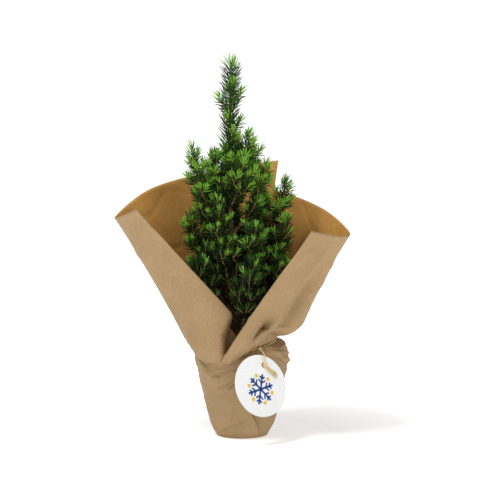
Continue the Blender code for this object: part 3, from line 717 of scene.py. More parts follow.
def sheet(name, rows, closed, finishes):
    """Paper whose outer face runs through rows of points, with its own finish on its inner face.
    For the kraft, that inner finish is painted bounce light and shade.
    """
    count = len(rows[0])
    points = [point for row in rows for point in row]
    faces = []
    for r in range(len(rows) - 1):
        low, high = r * count, (r + 1) * count
        for i in range(count if closed else count - 1):
            j = (i + 1) % count
            faces.append((low + i, low + j, high + j, high + i))
    if closed:
        faces.append(tuple(reversed(range(count))))
    data = bpy.data.meshes.new(name)
    data.from_pydata(points, [], faces)
    for finish in finishes:
        data.materials.append(finish)
    data.shade_smooth()
    lay_flat(data, rows, closed)
    obj = placed(name, data)
    skin = obj.modifiers.new("thickness", "SOLIDIFY")
    skin.thickness = PAPER
    skin.offset = -1
    skin.material_offset = 1
    return obj


def lay_flat(data, rows, closed):
    """Flat coordinates for the paper's pattern, in metres across and up."""
    count, middle = len(rows[0]), len(rows[0]) // 2
    flat = data.uv_layers.new(name="flat")
    width = sum((a - b).length for a, b in zip(rows[-1], rows[-1][1:]))
    height = sum((above[middle] - row[middle]).length for row, above in zip(rows, rows[1:]))
    for face in data.polygons:
        for loop in face.loop_indices:
            vertex = data.loops[loop].vertex_index
            place = (vertex % count) / count
            if closed and vertex % count == 0 and face.index % count == count - 1:
                place = 1.0
            flat.data[loop].uv = (place * width, (vertex // count) / len(rows) * height)


def raised(rows, closed, lift):
    """Moves each point of a grid outwards by what lift(row, column) gives."""
    count = len(rows[0])
    moved = []
    for r, row in enumerate(rows):
        above, below = rows[min(r + 1, len(rows) - 1)], rows[max(r - 1, 0)]
        line = []
        for c, point in enumerate(row):
            after = row[(c + 1) % count] if closed else row[min(c + 1, count - 1)]
            before = row[c - 1] if closed or c else row[0]
            out = (after - before).cross(above[c] - below[c])
            out = out.normalized() if out.length > 0 else Vector((0, 0, 0))
            line.append(point + out * lift(r, c))
        moved.append(line)
    return moved


def side_of(line, x, z):
    """Distance to a line of (x, height), positive on its right going up, and the share along it."""
    best = None
    for i, (a, b) in enumerate(zip(line, line[1:])):
        a, b, p = Vector(a), Vector(b), Vector((x, z))
        along = (b - a).normalized()
        t = max(0.0, min(1.0, (p - a).dot(along) / (b - a).length))
        off = (p - a.lerp(b, t)).length
        if best is None or off < abs(best[0]):
            best = (math.copysign(off, (p - a).cross(along)), (i + t) / (len(line) - 1))
    return best


def turn_in(point):
    """The left panel turns inwards right of its crease."""
    x, z = point.x / MM, point.z / MM
    off, _ = side_of(TURN_IN, x, z)
    if off <= 0 or point.y >= 0:
        return 0.0
    low = smooth((z - TURN_IN_FOOT) / TURN_IN_FOOT_FADE)
    high = smooth((TURN_IN_TOP - z) / TURN_IN_TOP_FADE)
    return -TURN_IN_DEPTH * smooth(off / TURN_IN_WIDTH) * low * high


def ridge_and_dent(point):
    """The right panel's long ridge with the hollow right of it, and the dent over the knot."""
    if point.y > 0:
        return 0.0
    x, z = point.x / MM, point.z / MM
    off, share = side_of(RIDGE, x, z)
    ends = smooth(share / RIDGE_FOOT_FADE) * smooth((RIDGE_END - share) / RIDGE_END_FADE)
    ridge = RIDGE_HEIGHT * math.exp(-abs(off) / RIDGE_WIDTH) * ends
    hollow = HOLLOW_DEPTH * hump(off - HOLLOW_AWAY, HOLLOW_WIDTH) * ends
    right, up = x - KNOT_DENT[0], z - KNOT_DENT[1]
    across = right * KNOT_DENT_LEAN[1] - up * KNOT_DENT_LEAN[0]
    along = right * KNOT_DENT_LEAN[0] + up * KNOT_DENT_LEAN[1]
    dent = KNOT_DENT_DEPTH * hump(across, KNOT_DENT_WIDTH) * hump(along, KNOT_DENT_LENGTH)
    rope = hump(across - ROPE[0], ROPE_WIDTH) * hump(along - ROPE[1], ROPE_LENGTH)
    return ridge - hollow - dent + ROPE_HEIGHT * rope


def panel_rows(rim, neck, puff, tucked):
    """The CAD panel's own surface, finer, with the beak and, if tucked is 1, a foot behind it."""
    rim = [Vector(point) * MM for point in rim]
    neck = [Vector((math.radians(angle), inset * MM)) for angle, inset in neck]
    rows = []
    for r in range(PANEL_ROWS + 1):
        share = (r / PANEL_ROWS) ** ROW_CROWDING
        stand, drop = beak_shift(share)
        shift = SEAM_SHIFT * tucked * max(0.0, 1 - share / SEAM_ROW)
        row = []
        for c in range(PANEL_COLUMNS + 1):
            u = c / PANEL_COLUMNS
            angle, inset = through(neck, u)
            angle += shift * max(0.0, 1 - u / SEAM_WIDTH)
            low = neck_point(angle, inset) + UP * CLEAR / 2
            out = on_circle(angle)
            bulge = puff * swell(share) * math.sqrt(abs(math.sin(math.pi * u)))
            point = low.lerp(through(rim, u), share) + (out - UP * PUFF_DROOP) * bulge
            row.append(point + (out * stand - UP * drop) * beak(angle))
        rows.append(row)
    return rows


def make_panel(name, node, rim, neck, puff, seed, form, tucked, finishes):
    """One half of the paper collar: gathers above the tie, its own form, dents and creases."""
    rows = panel_rows(rim, neck, puff, tucked)

    def lift(r, c):
        share = (r / PANEL_ROWS) ** ROW_CROWDING
        u = c / PANEL_COLUMNS
        point = rows[r][c]
        gathered = Vector((u * GATHER_COUNT + seed, share * GATHER_CHANGE, seed))
        gathers = GATHERS * noise.noise(gathered) * math.exp(-share / GATHER_FADE)
        pleated = Vector((u * PLEAT_COUNT, share * PLEAT_CHANGE, seed + 5))
        pleats = PLEATS * ridged(pleated) ** 3 * math.exp(-share / PLEAT_FADE)
        dents = DENTS * noise.noise(point / MM / DENT_PITCH + Vector((seed, 0, 0)))
        creases = CREASES * ridged(point / MM / CREASE_PITCH + Vector((0, seed, 0))) ** 8
        start = smooth((share - BEAK_ROW) / RELIEF_START)
        return (gathers + pleats + dents + creases + form(point)) * start * MM

    obj = sheet(name, raised(rows, False, lift), False, finishes)
    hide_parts(node)
    return obj


def fold_height(x, z):
    """How far the sleeve's folds stand proud at a distance round from the front and a height."""
    height = 0.0
    for start, end, proud in SLEEVE_FOLDS:
        a, b, p = Vector(start), Vector(end), Vector((x, z))
        along = (b - a).normalized()
        t = (p - a).dot(along) / (b - a).length
        off = (p - a).cross(along)
        if off > 0 and -FOLD_END < t < 1 + FOLD_END:
            ends = min(1.0, (t + FOLD_END) / (2 * FOLD_END), (1 + FOLD_END - t) / (2 * FOLD_END))
            height += proud * math.exp(-off / FOLD_WIDTH) * ends
    return height


def room_behind_tag(point):
    """How far paper may rise at a point before it meets the tag, in millimetres."""
    away = point - TAG_CENTRE
    behind = -away.dot(TAG_NORMAL)
    if (away + TAG_NORMAL * behind).length > TAG_RADIUS + TAG_MARGIN:
        return math.inf
    return max(0.0, (behind - TAG_MARGIN / 2) / MM)


def sleeve_rows():
    """The sleeve's smooth surface, from the floor up over the pot's rim to the tie."""
    corners = [
        (POT_FOOT_RADIUS, 0),
        (POT_HEEL_RADIUS, POT_HEEL),
        (POT_RIM_RADIUS, POT_RIM_FOOT),
        (POT_RIM_RADIUS, POT_TOP),
    ]
    profile = []
    for (low_radius, low), (high_radius, high) in zip(corners, corners[1:]):
        steps = max(2, round((high - low) / SLEEVE_ROW))
        for i in range(steps):
            t = i / steps
            profile.append((low_radius + (high_radius - low_radius) * t, low + (high - low) * t))
    profile.append(corners[-1])
    angles = [-math.pi / 2 + 2 * math.pi * i / SLEEVE_COLUMNS for i in range(SLEEVE_COLUMNS)]
    rows = []
    for radius, z in profile:
        rows.append([on_circle(angle) * (radius + SLEEVE_FIT) + UP * z for angle in angles])
    shoulder = rows[-1]
    for k in range(1, SHOULDER_ROWS + 1):
        t = k / SHOULDER_ROWS
        row = []
        for angle, start in zip(angles, shoulder):
            end = neck_point(angle) - UP * CLEAR / 2
            lifted = start + UP * SHOULDER_LIFT * (1 - beak(angle)) * (end.z - start.z)
            row.append(start * (1 - t) ** 2 + lifted * 2 * t * (1 - t) + end * t * t)
        rows.append(row)
    return rows


def make_sleeve(finishes):
    """The paper round the pot, with parcel folds, a creased shoulder and gathers at the knot."""
    rows = sleeve_rows()
    top = len(rows) - 1
    knot = neck_point(KNOT_ANGLE)

    def lift(r, c):
        if r == 0 or r == top:
            return 0.0
        point = rows[r][c]
        turn = (c / SLEEVE_COLUMNS + 0.5) % 1 - 0.5
        x, z = turn * 2 * math.pi * POT_RIM_RADIUS / MM, point.z / MM
        away = (point - knot) / MM
        rise = math.atan2(away.z, math.hypot(away.x, away.y))
        spoke = Vector((rise * KNOT_GATHER_COUNT, away.length / KNOT_GATHER_PITCH, 3))
        gathers = KNOT_GATHERS * math.exp(-away.length / KNOT_GATHER_REACH)
        gathers *= ridged(spoke) ** KNOT_GATHER_SHARPNESS
        waves = WAVES * noise.noise(Vector((x / WAVE_PITCH[0], z / WAVE_PITCH[1], 1)))
        waves *= hump(z - WAVE_HEIGHT, WAVE_SPREAD)
        folded = Vector((x / LONG_FOLD_PITCH[0], z / LONG_FOLD_PITCH[1], 7))
        crumpled = Vector((x / CRUMPLE_PITCH[0], z / CRUMPLE_PITCH[1], 9))
        soft = LONG_FOLDS * noise.noise(folded) + CRUMPLES * ridged(crumpled) ** 5
        proud = SLEEVE_SLACK + gathers + waves + soft + fold_height(x, z)
        edge = min(1.0, z / SLEEVE_FOOT_FADE, (top - r) / SLEEVE_TOP_FADE)
        return max(0.0, min(proud * edge, room_behind_tag(point))) * MM

    obj = sheet("paper_sleeve", raised(rows, True, lift), True, finishes)
    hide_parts("wrap_sleeve")
    return obj


def trunk_point(share):
    """Point of the trunk's axis at a share of its rise."""
    lean = -TRUNK_LEAN * math.sin(TRUNK_BEND * share)
    nod = TRUNK_NOD * math.sin(math.pi * share)
    return TRUNK_FOOT + Vector((lean, nod, TRUNK_RISE * share))


def trunk_share(height):
    """Share of the trunk's rise at a height in millimetres."""
    return (height * MM - TRUNK_FOOT.z) / TRUNK_RISE


def trunk_radius(share):
    share = max(0.0, share)
    flare = max(0.0, 1 - share * TRUNK_RISE / ROOT_FLARE_RISE)
    taper = (TRUNK_FOOT_RADIUS - TRUNK_TIP_RADIUS) * share**TRUNK_TAPER
    return TRUNK_FOOT_RADIUS - taper + ROOT_FLARE * flare**2


def shoot_route(foot_height, tip):
    """A bough with its shoot: out from the trunk first, then up to the tip."""
    foot, tip = trunk_point(trunk_share(foot_height)), Vector(tip) * MM
    out = Vector((tip.x - foot.x, tip.y - foot.y, 0))
    rise = UP * (tip.z - foot.z)
    leave = foot + out * LEAVE_OUT + rise * LEAVE_UP
    arrive = tip - out * ARRIVE_OUT - rise * ARRIVE_UP
    points = []
    for i in range(ROUTE_STEPS + 1):
        t = i / ROUTE_STEPS
        low = foot * (1 - t) ** 3 + leave * 3 * t * (1 - t) ** 2
        points.append(low + arrive * 3 * t * t * (1 - t) + tip * t**3)
    return Route(points)


def furrows(point, angle):
    """Bark relief: long furrows with broken plates between them."""
    place = on_circle(angle) * FURROW_WIDTH + UP * (point.z / MM / FURROW_LENGTH)
    return 1 + BARK_FURROWS * ridged(place) + BARK_GRAIN * noise.noise(place * 3)


def make_bark(routes, finish):
    """The trunk and the bare wood of its boughs, with relief, as one mesh."""
    bark = Mesher()
    shares = [i / TRUNK_RINGS for i in range(TRUNK_RINGS + 1)]
    radii = [trunk_radius(share) * BARK_INSET for share in shares]
    bark.tube([trunk_point(share) for share in shares], radii, TRUNK_SIDES, furrows)
    step = (BOUGH_TIP_RADIUS - BOUGH_FOOT_RADIUS) / BOUGH_RINGS
    radii = [(BOUGH_FOOT_RADIUS + step * i) * BARK_INSET for i in range(BOUGH_RINGS + 1)]
    for name, (_, _, wood) in BOUGHS.items():
        route = routes[name]
        line = [route.at(route.length * wood * i / BOUGH_RINGS) for i in range(BOUGH_RINGS + 1)]
        bark.tube(line, radii, BOUGH_SIDES, furrows)
    obj = bark.piece("bark", finish, "bark")
    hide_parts("trunk", *("bough_" + name for name in BOUGHS))


def tree_of(points):
    """A search tree for the nearest of these points."""
    made = KDTree(len(points))
    for i, point in enumerate(points):
        made.insert(point, i)
    made.balance()
    return made


def twig_route(root, heading, out, length):
    """A side twig that leaves its stem at a slope and lifts towards its tip."""
    aim = heading * math.cos(TWIG_SLOPE) + out * math.sin(TWIG_SLOPE)
    points = []
    for i in range(TWIG_STEPS + 1):
        t = i / TWIG_STEPS
        points.append(root + aim * length * t + UP * length * TWIG_LIFT * t * t)
    return Route(points)


def side_ways(heading, angle):
    """Direction square to a heading, at an angle round it."""
    out = heading.orthogonal().normalized()
    out.rotate(Quaternion(heading, angle))
    return out


class Crown:
    """All twigs, buds and needles of the plant, grown stem by stem."""

    def __init__(self, paper):
        self.paper = paper
        self.wood = Mesher()
        self.buds = Mesher()
        self.needles = {tint: [] for tint in NEEDLE_GREENS_AND_PAINTED_SHADE}

    def fits(self, line, room):
        """Whether every point of a line has this much room to the paper."""
        return all(self.paper.find_nearest(point, room)[0] is None for point in line)

    def painted_light_level(self, point):
        """How far out in the light a place is, from 0 deep inside to about 1 at the tips. It picks
        the needles' green, so it paints light and shade into their colour.
        """
        height = point.z / MM
        axis = trunk_point(trunk_share(height))
        out = math.hypot(point.x - axis.x, point.y - axis.y) / CROWN_RADIUS
        return LIGHT_OUTWARDS * out + LIGHT_UPWARDS * (height - LIGHT_FOOT) / LIGHT_RISE

    def clothe(self, route, start, draw, length, radius, light=0.0, step=NEEDLE_STEP):
        """Needles round a shoot by the golden angle, closing to a tuft round the bud at its tip."""
        tints = list(NEEDLE_GREENS_AND_PAINTED_SHADE)
        spray = self.painted_light_level(route.at((start + route.length) / 2))
        spray += draw.uniform(-SPRAY_SPREAD, SPRAY_SPREAD)
        spray += light
        # The spray's green is painted light and shade, picked by where the spray sits in the crown
        rank = sum(spray >= limit for limit in SPRAY_LIMITS)
        angle = draw.uniform(0, 2 * math.pi)
        distance = start
        while distance < route.length:
            left = route.length - distance
            angle += GOLDEN_ANGLE
            foot, heading = route.at(distance), route.heading(distance)
            closing = max(0.0, 1 - left / TIP_STRETCH)
            slope = NEEDLE_SLOPE + (TIP_SLOPE - NEEDLE_SLOPE) * closing
            slope *= draw.uniform(*NEEDLE_SLOPE_SPREAD)
            out = side_ways(heading, angle)
            aim = out * math.sin(slope) + heading * math.cos(slope) + UP * NEEDLE_LIFT
            aim.normalize()
            reach = length * draw.uniform(*NEEDLE_LENGTH_SPREAD) * (1 - TIP_SHORTENING * closing)
            hit = self.paper.ray_cast(foot, aim, reach + MM)
            if hit[0]:
                reach = hit[3] - NEEDLE_CLEAR
            if reach > NEEDLE_SHORTEST:
                # One or two steps lighter near the shoot's tip: the real paler green of new growth
                tip_rank = rank + (left < TIP_STRETCH) + (left < TIP_STRETCH * BRIGHT_TIP)
                tip_rank += draw.choice(OLDER_NEEDLES)
                tint = tints[max(0, min(len(tints) - 1, tip_rank))]
                self.needles[tint].append((foot + out * radius * NEEDLE_SEAT, aim, heading, reach))
            distance += step * draw.uniform(*NEEDLE_STEP_SPREAD)
        tip, heading = route.at(route.length), route.heading(route.length)
        self.buds.lump(tip, BUD_RADII, heading.to_track_quat("Z", "Y").to_matrix())

    def shoot(self, route, start, foot_radius, draw, length, light=0.0):
        """The wood of one shoot with its needles."""
        line = route.samples(start, route.length, SHOOT_STEP)
        taper = (SHOOT_TIP_RADIUS - foot_radius) / (len(line) - 1)
        radii = [foot_radius + taper * i for i in range(len(line))]
        self.wood.tube(line, radii, SHOOT_SIDES)
        self.clothe(route, start + MM, draw, length, foot_radius, light)

    def clothe_wood(self, route, start, end, draw):
        """The older needles on the wood of a bough or the trunk, in the darkest green: partly their
        own older colour, partly painted shade deep in the crown.
        """
        angle, distance = draw.uniform(0, 2 * math.pi), start
        while distance < end:
            angle += GOLDEN_ANGLE
            foot, heading = route.at(distance), route.heading(distance)
            out = side_ways(heading, angle)
            aim = out * math.sin(NEEDLE_SLOPE) + heading * math.cos(NEEDLE_SLOPE)
            aim.normalize()
            if self.paper.ray_cast(foot, aim, NEEDLE_LENGTH + MM)[0] is None:
                reach = NEEDLE_LENGTH * draw.uniform(*WOOD_NEEDLE_SPREAD)
                self.needles["deep"].append((foot + out * MM, aim, heading, reach))
            distance += WOOD_NEEDLE_PITCH * NEEDLE_STEP

    def branch(self, route, start, end, draw, own, others):
        """Side twigs of a stem, where they stay nearer to it than to others and off the paper."""
        count = int((end - start) / TWIG_PITCH)
        angle = draw.uniform(0, 2 * math.pi)
        for i in range(count):
            distance = start + TWIG_PITCH * (i + 0.5)
            root, heading = route.at(distance), route.heading(distance)
            length = TWIG_LENGTH * (1 - TWIG_TAPER * i / count)
            length *= draw.uniform(*TWIG_LENGTH_SPREAD)
            for _ in range(TWIG_TRIALS):
                angle += GOLDEN_ANGLE
                twig = twig_route(root, heading, side_ways(heading, angle), length)
                line = twig.samples(TWIG_FREE_FOOT, twig.length, SAMPLE_STEP)
                apart = min(others.find(point)[2] - own.find(point)[2] for point in line)
                long_enough = twig.length > TWIG_SHORTEST
                if long_enough and apart > -TWIG_OVERLAP and self.fits(line, TWIG_ROOM):
                    self.shoot(twig, 0, TWIG_FOOT_RADIUS, draw, NEEDLE_LENGTH)
                    self.twiglets(twig, draw)
                    break
                length *= TWIG_SHRINK

    def twiglets(self, twig, draw):
        """Two small twigs on a long enough twig."""
        if twig.length < TWIGLET_PARENT:
            return
        for share, way in TWIGLETS:
            distance = twig.length * share
            heading = twig.heading(distance)
            out = heading.cross(UP).normalized() * way
            length = TWIGLET_LENGTH * draw.uniform(*TWIGLET_SPREAD)
            twiglet = twig_route(twig.at(distance), heading, out, length)
            line = twiglet.samples(TWIGLET_FREE_FOOT, twiglet.length, SAMPLE_STEP)
            if self.fits(line, TWIGLET_ROOM):
                needle = NEEDLE_LENGTH * TWIGLET_NEEDLES
                self.shoot(twiglet, 0, TWIG_RADIUS, draw, needle, TWIGLET_LIGHT)


def needle_mesh(name, needles, finish):
    """One mesh of slim, four-sided needles that bend along their shoot and end in a point."""
    feet = np.array([needle[0] for needle in needles])
    aims = np.array([needle[1] for needle in needles])
    ahead = np.array([needle[2] for needle in needles])
    lengths = np.array([needle[3] for needle in needles])[:, None]
    bends = ahead - aims * (ahead * aims).sum(1, keepdims=True)
    bends /= np.maximum(np.linalg.norm(bends, axis=1, keepdims=True), 1e-9)
    sides = np.cross(aims, bends)
    corners = []
    for share, width in NEEDLE_RINGS:
        centre = feet + aims * lengths * share + bends * lengths * NEEDLE_BEND * share**2
        for across, deep in ((1, 0), (0, 1), (-1, 0), (0, -1)):
            corners.append(centre + (sides * across + bends * deep) * NEEDLE_RADIUS * width)
    corners.append(feet + aims * lengths + bends * lengths * NEEDLE_BEND)
    points = np.stack(corners, axis=1)
    point = len(corners) - 1
    faces = [(3, 2, 1, 0)]
    for low in range(0, point - 4, 4):
        for k in range(4):
            j = (k + 1) % 4
            faces.append((low + k, low + j, low + 4 + j, low + 4 + k))
    faces += [(point - 4 + k, point - 4 + (k + 1) % 4, point) for k in range(4)]
    order = np.array([corner for face in faces for corner in face])
    starts = np.cumsum([0] + [len(face) for face in faces[:-1]])
    count = len(needles)
    shift = np.arange(count)[:, None]
    loops = (order[None, :] + len(corners) * shift).ravel()
    first = (starts[None, :] + len(order) * shift).ravel()
    data = bpy.data.meshes.new(name)
    data.vertices.add(len(corners) * count)
    data.vertices.foreach_set("co", points.astype(np.float32).ravel())
    data.loops.add(len(loops))
    data.loops.foreach_set("vertex_index", loops.astype(np.int32))
    data.polygons.add(len(faces) * count)
    data.polygons.foreach_set("loop_start", first.astype(np.int32))
    data.materials.append(finish)
    data.update(calc_edges=True)
    data.shade_smooth()
    placed(name, data)


def grow_leader(crown):
    """The leader's needles with its side shoots, and old needles on the trunk below it in the
    darkest green, which is partly painted shade.
    """
    low, high = (trunk_share(height) for height in LEADER)
    shares = [low + (high - low) * i / ROUTE_STEPS for i in range(ROUTE_STEPS + 1)]
    leader = Route([trunk_point(share) for share in shares])
    heights = range(BARE_FOOT, LEADER[0], BARE_FOOT_STEP)
    trunk = Route([trunk_point(trunk_share(height)) for height in heights])
    crown.clothe_wood(trunk, 0, trunk.length, random.Random("trunk"))
    draw = random.Random("leader")
    crown.clothe(
        leader, 0, draw, LEADER_NEEDLE_LENGTH, LEADER_RADIUS, LEADER_LIGHT, LEADER_NEEDLE_STEP
    )
    shoots = [(*place, LEADER_SHOOT_LENGTH) for place in LEADER_SHOOTS]
    shoots += [(*place, LEADER_TUFT_LENGTH) for place in LEADER_TUFTS]
    for height, bearing, length in shoots:
        root = trunk_point(trunk_share(height))
        twig = twig_route(root, UP, on_circle(math.radians(bearing)), length)
        crown.shoot(twig, 0, TWIG_FOOT_RADIUS, draw, NEEDLE_LENGTH, LEADER_SHOOT_LIGHT)


def make_foliage(routes, paper, wood_finish, bud_finish):
    """Grows every mass by the CAD model's rule, finer, and joins what it grows by kind."""
    starts = {name: routes[name].length * wood for name, (_, _, wood) in BOUGHS.items()}
    starts.update({name: SHORT_SHOOT_BARE for name in SHORT_SHOOTS})
    lines = {}
    for name, route in routes.items():
        lines[name] = route.samples(starts[name], route.length, SAMPLE_STEP)
    crown = Crown(paper)
    for name, route in routes.items():
        draw = random.Random(name)
        start = starts[name]
        own = tree_of(lines[name])
        others = tree_of([p for other, line in lines.items() if other != name for p in line])
        crown.shoot(route, start, BOUGH_TIP_RADIUS * SHOOT_FOOT_SHARE, draw, NEEDLE_LENGTH)
        crown.clothe_wood(route, start * WOOD_BARE, start, draw)
        crown.branch(route, start * TWIG_BARE, route.length - SHOOT_STEP, draw, own, others)
    grow_leader(crown)
    twigs = crown.wood.piece("twigs", wood_finish, "bark")
    masses = [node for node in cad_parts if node.startswith("foliage_")]
    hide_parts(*masses)
    crown.buds.piece("buds", bud_finish, "bark")
    for tint, needles in crown.needles.items():
        finish = needle_shader(tint)
        for i in range(0, len(needles), NEEDLE_LIMIT):
            name = f"needles_{tint}_{i // NEEDLE_LIMIT}"
            needle_mesh(name, needles[i : i + NEEDLE_LIMIT], finish)


def tag_frame():
    """Frame of the tag: its centre, with Z out of its face and Y up towards its hole."""
    turn = TAG_NORMAL.to_track_quat("Z", "Y") @ Quaternion((0, 0, 1), TAG_TURN)
    return Matrix.LocRotScale(TAG_CENTRE, turn, None)


def seat(angle, radius, paper):
    """Centre of a ball of this radius that lies in the tied groove, clear of the paper."""
    offset = radius
    while paper.find_nearest(neck_point(angle, -offset))[3] < radius + CLEAR:
        offset += SEAT_STEP
    return neck_point(angle, -offset)


def twisted(line, offset, turns, phase):
    """A fibre of a twisted cord round a line."""
    made = []
    side = (line[1] - line[0]).orthogonal().normalized()
    for i, point in enumerate(line):
        ahead = line_heading(line, i)
        side = (side - ahead * side.dot(ahead)).normalized()
        angle = phase + 2 * math.pi * turns * i / (len(line) - 1)
        out = side * math.cos(angle) + ahead.cross(side) * math.sin(angle)
        made.append(point + out * offset)
    return made


def twist(fibres, line, way):
    """A cord of three fibres along a line."""
    for phase in FIBRE_PHASES:
        fibres.tube(twisted(line, *way, phase), [FIBRE_RADIUS] * len(line), FIBRE_SIDES)


def wrap(fibres, centre):
    """A knot: three tilted rings of fibre round a place."""
    turn = TAG_NORMAL.to_track_quat("Z", "Y")
    for tilt in WRAP_TILTS:
        spin = turn @ Quaternion((0, 1, 0), tilt) @ Quaternion((1, 0, 0), WRAP_LEAN)
        ring = []
        for i in range(WRAP_STEPS + 1):
            angle = 2 * math.pi * i / WRAP_STEPS
            ring.append(centre + spin @ (on_circle(angle) * WRAP_RADIUS))
        fibres.tube(ring, [WRAP_FIBRE] * len(ring), FIBRE_SIDES)


def fan(fibres, hole):
    """The frayed tail, which fans out over the tag's face from its hole."""
    draw = random.Random("tail")
    for k in range(TAIL_FIBRES):
        spread = (k / (TAIL_FIBRES - 1) - 0.5) * 2
        reach = TAIL_LENGTH * (1 - TAIL_FRAY * (k % 3))
        line = []
        for i in range(TAIL_STEPS + 1):
            t = i / TAIL_STEPS
            across = spread * TAIL_WIDTH / 2 * t**TAIL_FAN
            rise = TAIL_LIFT * (1 - t) ** 2 + TAIL_RISE + TAIL_WAVE * math.sin(3 * t + k)
            line.append(hole @ Vector((reach * t, across, rise)))
        radii = []
        for i in range(TAIL_STEPS + 1):
            radius = TAIL_FIBRE * (1 - TAIL_TAPER * i / TAIL_STEPS)
            radii.append(radius * draw.uniform(0.9, 1.1))
        fibres.tube(line, radii, TAIL_SIDES)


def make_raffia(finish):
    """Raffia: a band round the neck, a knot, a cord down to the tag and a tail on its face."""
    wraps = ("wrap_sleeve", "wrap_panel_left", "wrap_panel_right")
    paper = search_tree([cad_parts[name] for name in wraps])
    turns = [i / BAND_STEPS for i in range(BAND_STEPS + 1)]
    loop = [seat(2 * math.pi * turn, BAND_RADIUS, paper) for turn in turns]
    fibres = Mesher()
    twist(fibres, loop, BAND_TWIST)
    knot = seat(KNOT_ANGLE, KNOT_RADIUS, paper)
    card = tag_frame()
    face = TAG_THICKNESS / 2 + CLEAR
    bead = card @ Vector((0, TAG_HOLE_OUT, face + KNOT_RADIUS))
    back = card @ Vector((0, TAG_HOLE_OUT, -face - STRAND_RADIUS))
    half_way = (card.inverted() @ knot).x / 2
    over_edge = card @ Vector((half_way, TAG_RADIUS, face + 2 * STRAND_RADIUS))
    stops = [seat(KNOT_ANGLE, BAND_RADIUS, paper), knot, over_edge, bead, back]
    twist(fibres, [through(stops, i / CORD_STEPS) for i in range(CORD_STEPS + 1)], CORD_TWIST)
    wrap(fibres, knot)
    wrap(fibres, bead)
    hole = card @ Matrix.Translation((0, TAG_HOLE_OUT, face))
    fan(fibres, hole @ Matrix.Rotation(TAIL_TURN - TAG_TURN, 4, "Z"))
    obj = fibres.piece("raffia", finish, "raffia")
    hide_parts("raffia_tie")


def moved_out(matrix, distance):
    """The matrix moved along its own Y."""
    return matrix @ Matrix.Translation((0, distance, 0))


def turned(matrix, degrees):
    """The matrix turned about its own Z."""
    return matrix @ Matrix.Rotation(math.radians(degrees), 4, "Z")


def flat_bar(bm, matrix, length, width):
    """A thin printed bar that starts at the matrix's origin and runs along its Y."""
    size = Matrix.Diagonal((width, length, PRINT_THICKNESS, 1))
    bmesh.ops.create_cube(bm, size=1, matrix=moved_out(matrix, length / 2) @ size)


def make_print(blue, yellow):
    """A plain snowflake and a ring of dots, printed on the card."""
    front = TAG_THICKNESS / 2 + PRINT_THICKNESS / 2
    face = tag_frame() @ Matrix.Translation((0, -PRINT_DROP, front))
    flake, dots = bmesh.new(), bmesh.new()
    for k in range(ARMS):
        arm = turned(face, 360 / ARMS * k)
        flat_bar(flake, arm, ARM_LENGTH, ARM_WIDTH)
        for out, length in BARBS:
            for way in (-1, 1):
                barb = turned(moved_out(arm, out), way * BARB_SLOPE)
                flat_bar(flake, barb, length, BARB_WIDTH)
        bmesh.ops.create_cone(
            dots,
            cap_ends=True,
            segments=DOT_SIDES,
            radius1=DOT_RADIUS,
            radius2=DOT_RADIUS,
            depth=PRINT_THICKNESS,
            matrix=moved_out(turned(face, 360 / ARMS * (k + 0.5)), DOT_OUT),
        )
    for name, bm, finish in (("tag_snowflake", flake, blue), ("tag_dots", dots, yellow)):
        data = bpy.data.meshes.new(name)
        bm.to_mesh(data)
        bm.free()
        data.materials.append(finish)
        placed(name, data)


def make_crumbs(finish):
    """Crumbs of compost that lie on its surface round the trunk."""
    draw = random.Random("crumbs")
    crumbs = Mesher()
    _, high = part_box("compost")
    for _ in range(CRUMBS):
        radius = math.sqrt(draw.random()) * (high.x - CRUMB_EDGE)
        angle = draw.uniform(0, 2 * math.pi)
        if radius < CRUMB_TRUNK_ROOM:
            continue
        size = draw.uniform(*CRUMB_SIZES) * MM
        centre = on_circle(angle) * radius + UP * (high.z + size * 0.2)
        turn = Quaternion((0, 0, 1), angle).to_matrix()
        crumbs.lump(centre, (size * 1.3, size, size * 0.8), turn, CRUMB_ROUGHNESS)
    crumbs.piece("compost_crumbs", finish, "compost")


def finish_node(name, finish):
    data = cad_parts[name].data
    data.materials.clear()
    data.materials.append(finish)


def make_floor():
    """A white floor that glows more with the distance, so that it runs into the white sky."""
    bm = bmesh.new()
    bmesh.ops.create_grid(bm, x_segments=1, y_segments=1, size=FLOOR_SIZE / 2)
    data = bpy.data.meshes.new("floor")
    bm.to_mesh(data)
    bm.free()
    floor = bpy.data.objects.new("floor", data)
    bpy.context.scene.collection.objects.link(floor)
    white = Shader("floor_white", (FLOOR_WHITE, FLOOR_WHITE, FLOOR_WHITE), 0.9)
    white.surface.inputs["Emission Color"].default_value = (*WHITE, 1)
    away = white.tree.nodes.new("ShaderNodeVectorMath")
    away.operation = "LENGTH"
    white.tree.links.new(white.place("Object"), away.inputs[0])
    glow = white.tree.nodes.new("ShaderNodeMapRange")
    glow.inputs["From Min"].default_value = FLOOR_NEAR
    glow.inputs["From Max"].default_value = FLOOR_FAR
    glow.inputs["To Min"].default_value = FLOOR_GLOW
    glow.inputs["To Max"].default_value = 1.0
    white.tree.links.new(away.outputs["Value"], glow.inputs["Value"])
    white.tree.links.new(glow.outputs["Result"], white.surface.inputs["Emission Strength"])
    data.materials.append(white.material)


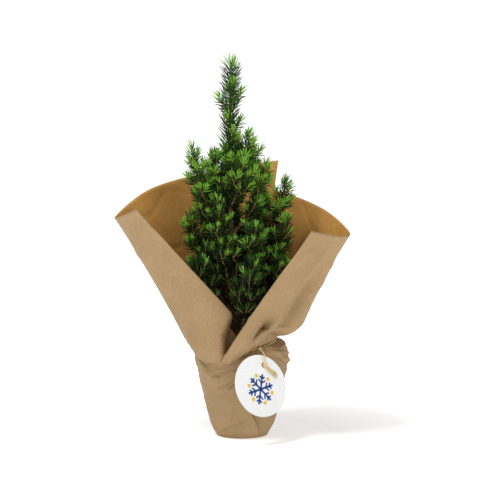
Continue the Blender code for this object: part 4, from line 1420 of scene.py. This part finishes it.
def make_sky():
    """A sky that looks white and lights less than it looks."""
    world = bpy.data.worlds.new("studio")
    bpy.context.scene.world = world
    world.use_nodes = True
    tree = world.node_tree
    sky = tree.nodes["Background"]
    sky.inputs["Color"].default_value = (*WHITE, 1)
    seen = tree.nodes.new("ShaderNodeLightPath")
    level = tree.nodes.new("ShaderNodeMapRange")
    level.inputs["To Min"].default_value = SKY_LIGHT
    level.inputs["To Max"].default_value = SKY_SEEN
    tree.links.new(seen.outputs["Is Camera Ray"], level.inputs["Value"])
    tree.links.new(level.outputs["Result"], sky.inputs["Strength"])


def aimed(name, data, place):
    """A light or a camera at a place, aimed at the plant."""
    obj = bpy.data.objects.new(name, data)
    obj.location = place
    obj.rotation_euler = (CAMERA_AIM - place).to_track_quat("-Z", "Y").to_euler()
    bpy.context.scene.collection.objects.link(obj)
    return obj


def make_stage():
    """White floor, white sky, two soft lights and the camera."""
    make_floor()
    make_sky()
    for name, (place, size, power) in LIGHTS.items():
        lamp = bpy.data.lights.new(name, "AREA")
        lamp.energy = power
        lamp.size = size
        aimed(name, lamp, place)
    lens = bpy.data.cameras.new("camera")
    lens.lens = CAMERA_LENS
    bpy.context.scene.camera = aimed("camera", lens, CAMERA_PLACE)
    bpy.context.scene.view_settings.view_transform = "Standard"


def main():
    make_stage()
    # The inner finish is the same paper painted in bounce light and shade
    paper = (
        kraft_shader("kraft_outside", *KRAFT_OUTSIDE),
        kraft_shader("kraft_inside_painted_bounce", *KRAFT_INSIDE_PAINTED_BOUNCE),
    )
    looks = {name: rough_shader(name, *facts) for name, facts in FINISHES.items()}

    sleeve = make_sleeve(paper)
    left_facts = (LEFT_RIM, LEFT_NECK, LEFT_PUFF, LEFT_SEED, turn_in, 0)
    left = make_panel("paper_left", "wrap_panel_left", *left_facts, paper)
    right_facts = (RIGHT_RIM, RIGHT_NECK, RIGHT_PUFF, RIGHT_SEED, ridge_and_dent, 1)
    right = make_panel("paper_right", "wrap_panel_right", *right_facts, paper)
    routes = {name: shoot_route(foot, tip) for name, (foot, tip, _) in BOUGHS.items()}
    make_bark(routes, looks["bark"])
    routes.update({name: shoot_route(foot, tip) for name, (foot, tip) in SHORT_SHOOTS.items()})
    collar = search_tree([sleeve, left, right])
    make_foliage(routes, collar, looks["twig_wood"], looks["bud_scales"])
    make_raffia(looks["raffia"])
    make_print(looks["print_blue"], looks["print_yellow"])
    make_crumbs(looks["compost"])
    finish_node("compost", looks["compost"])
    finish_node("nursery_pot", looks["pot_plastic"])
    finish_node("tag", looks["tag_card"])


main()
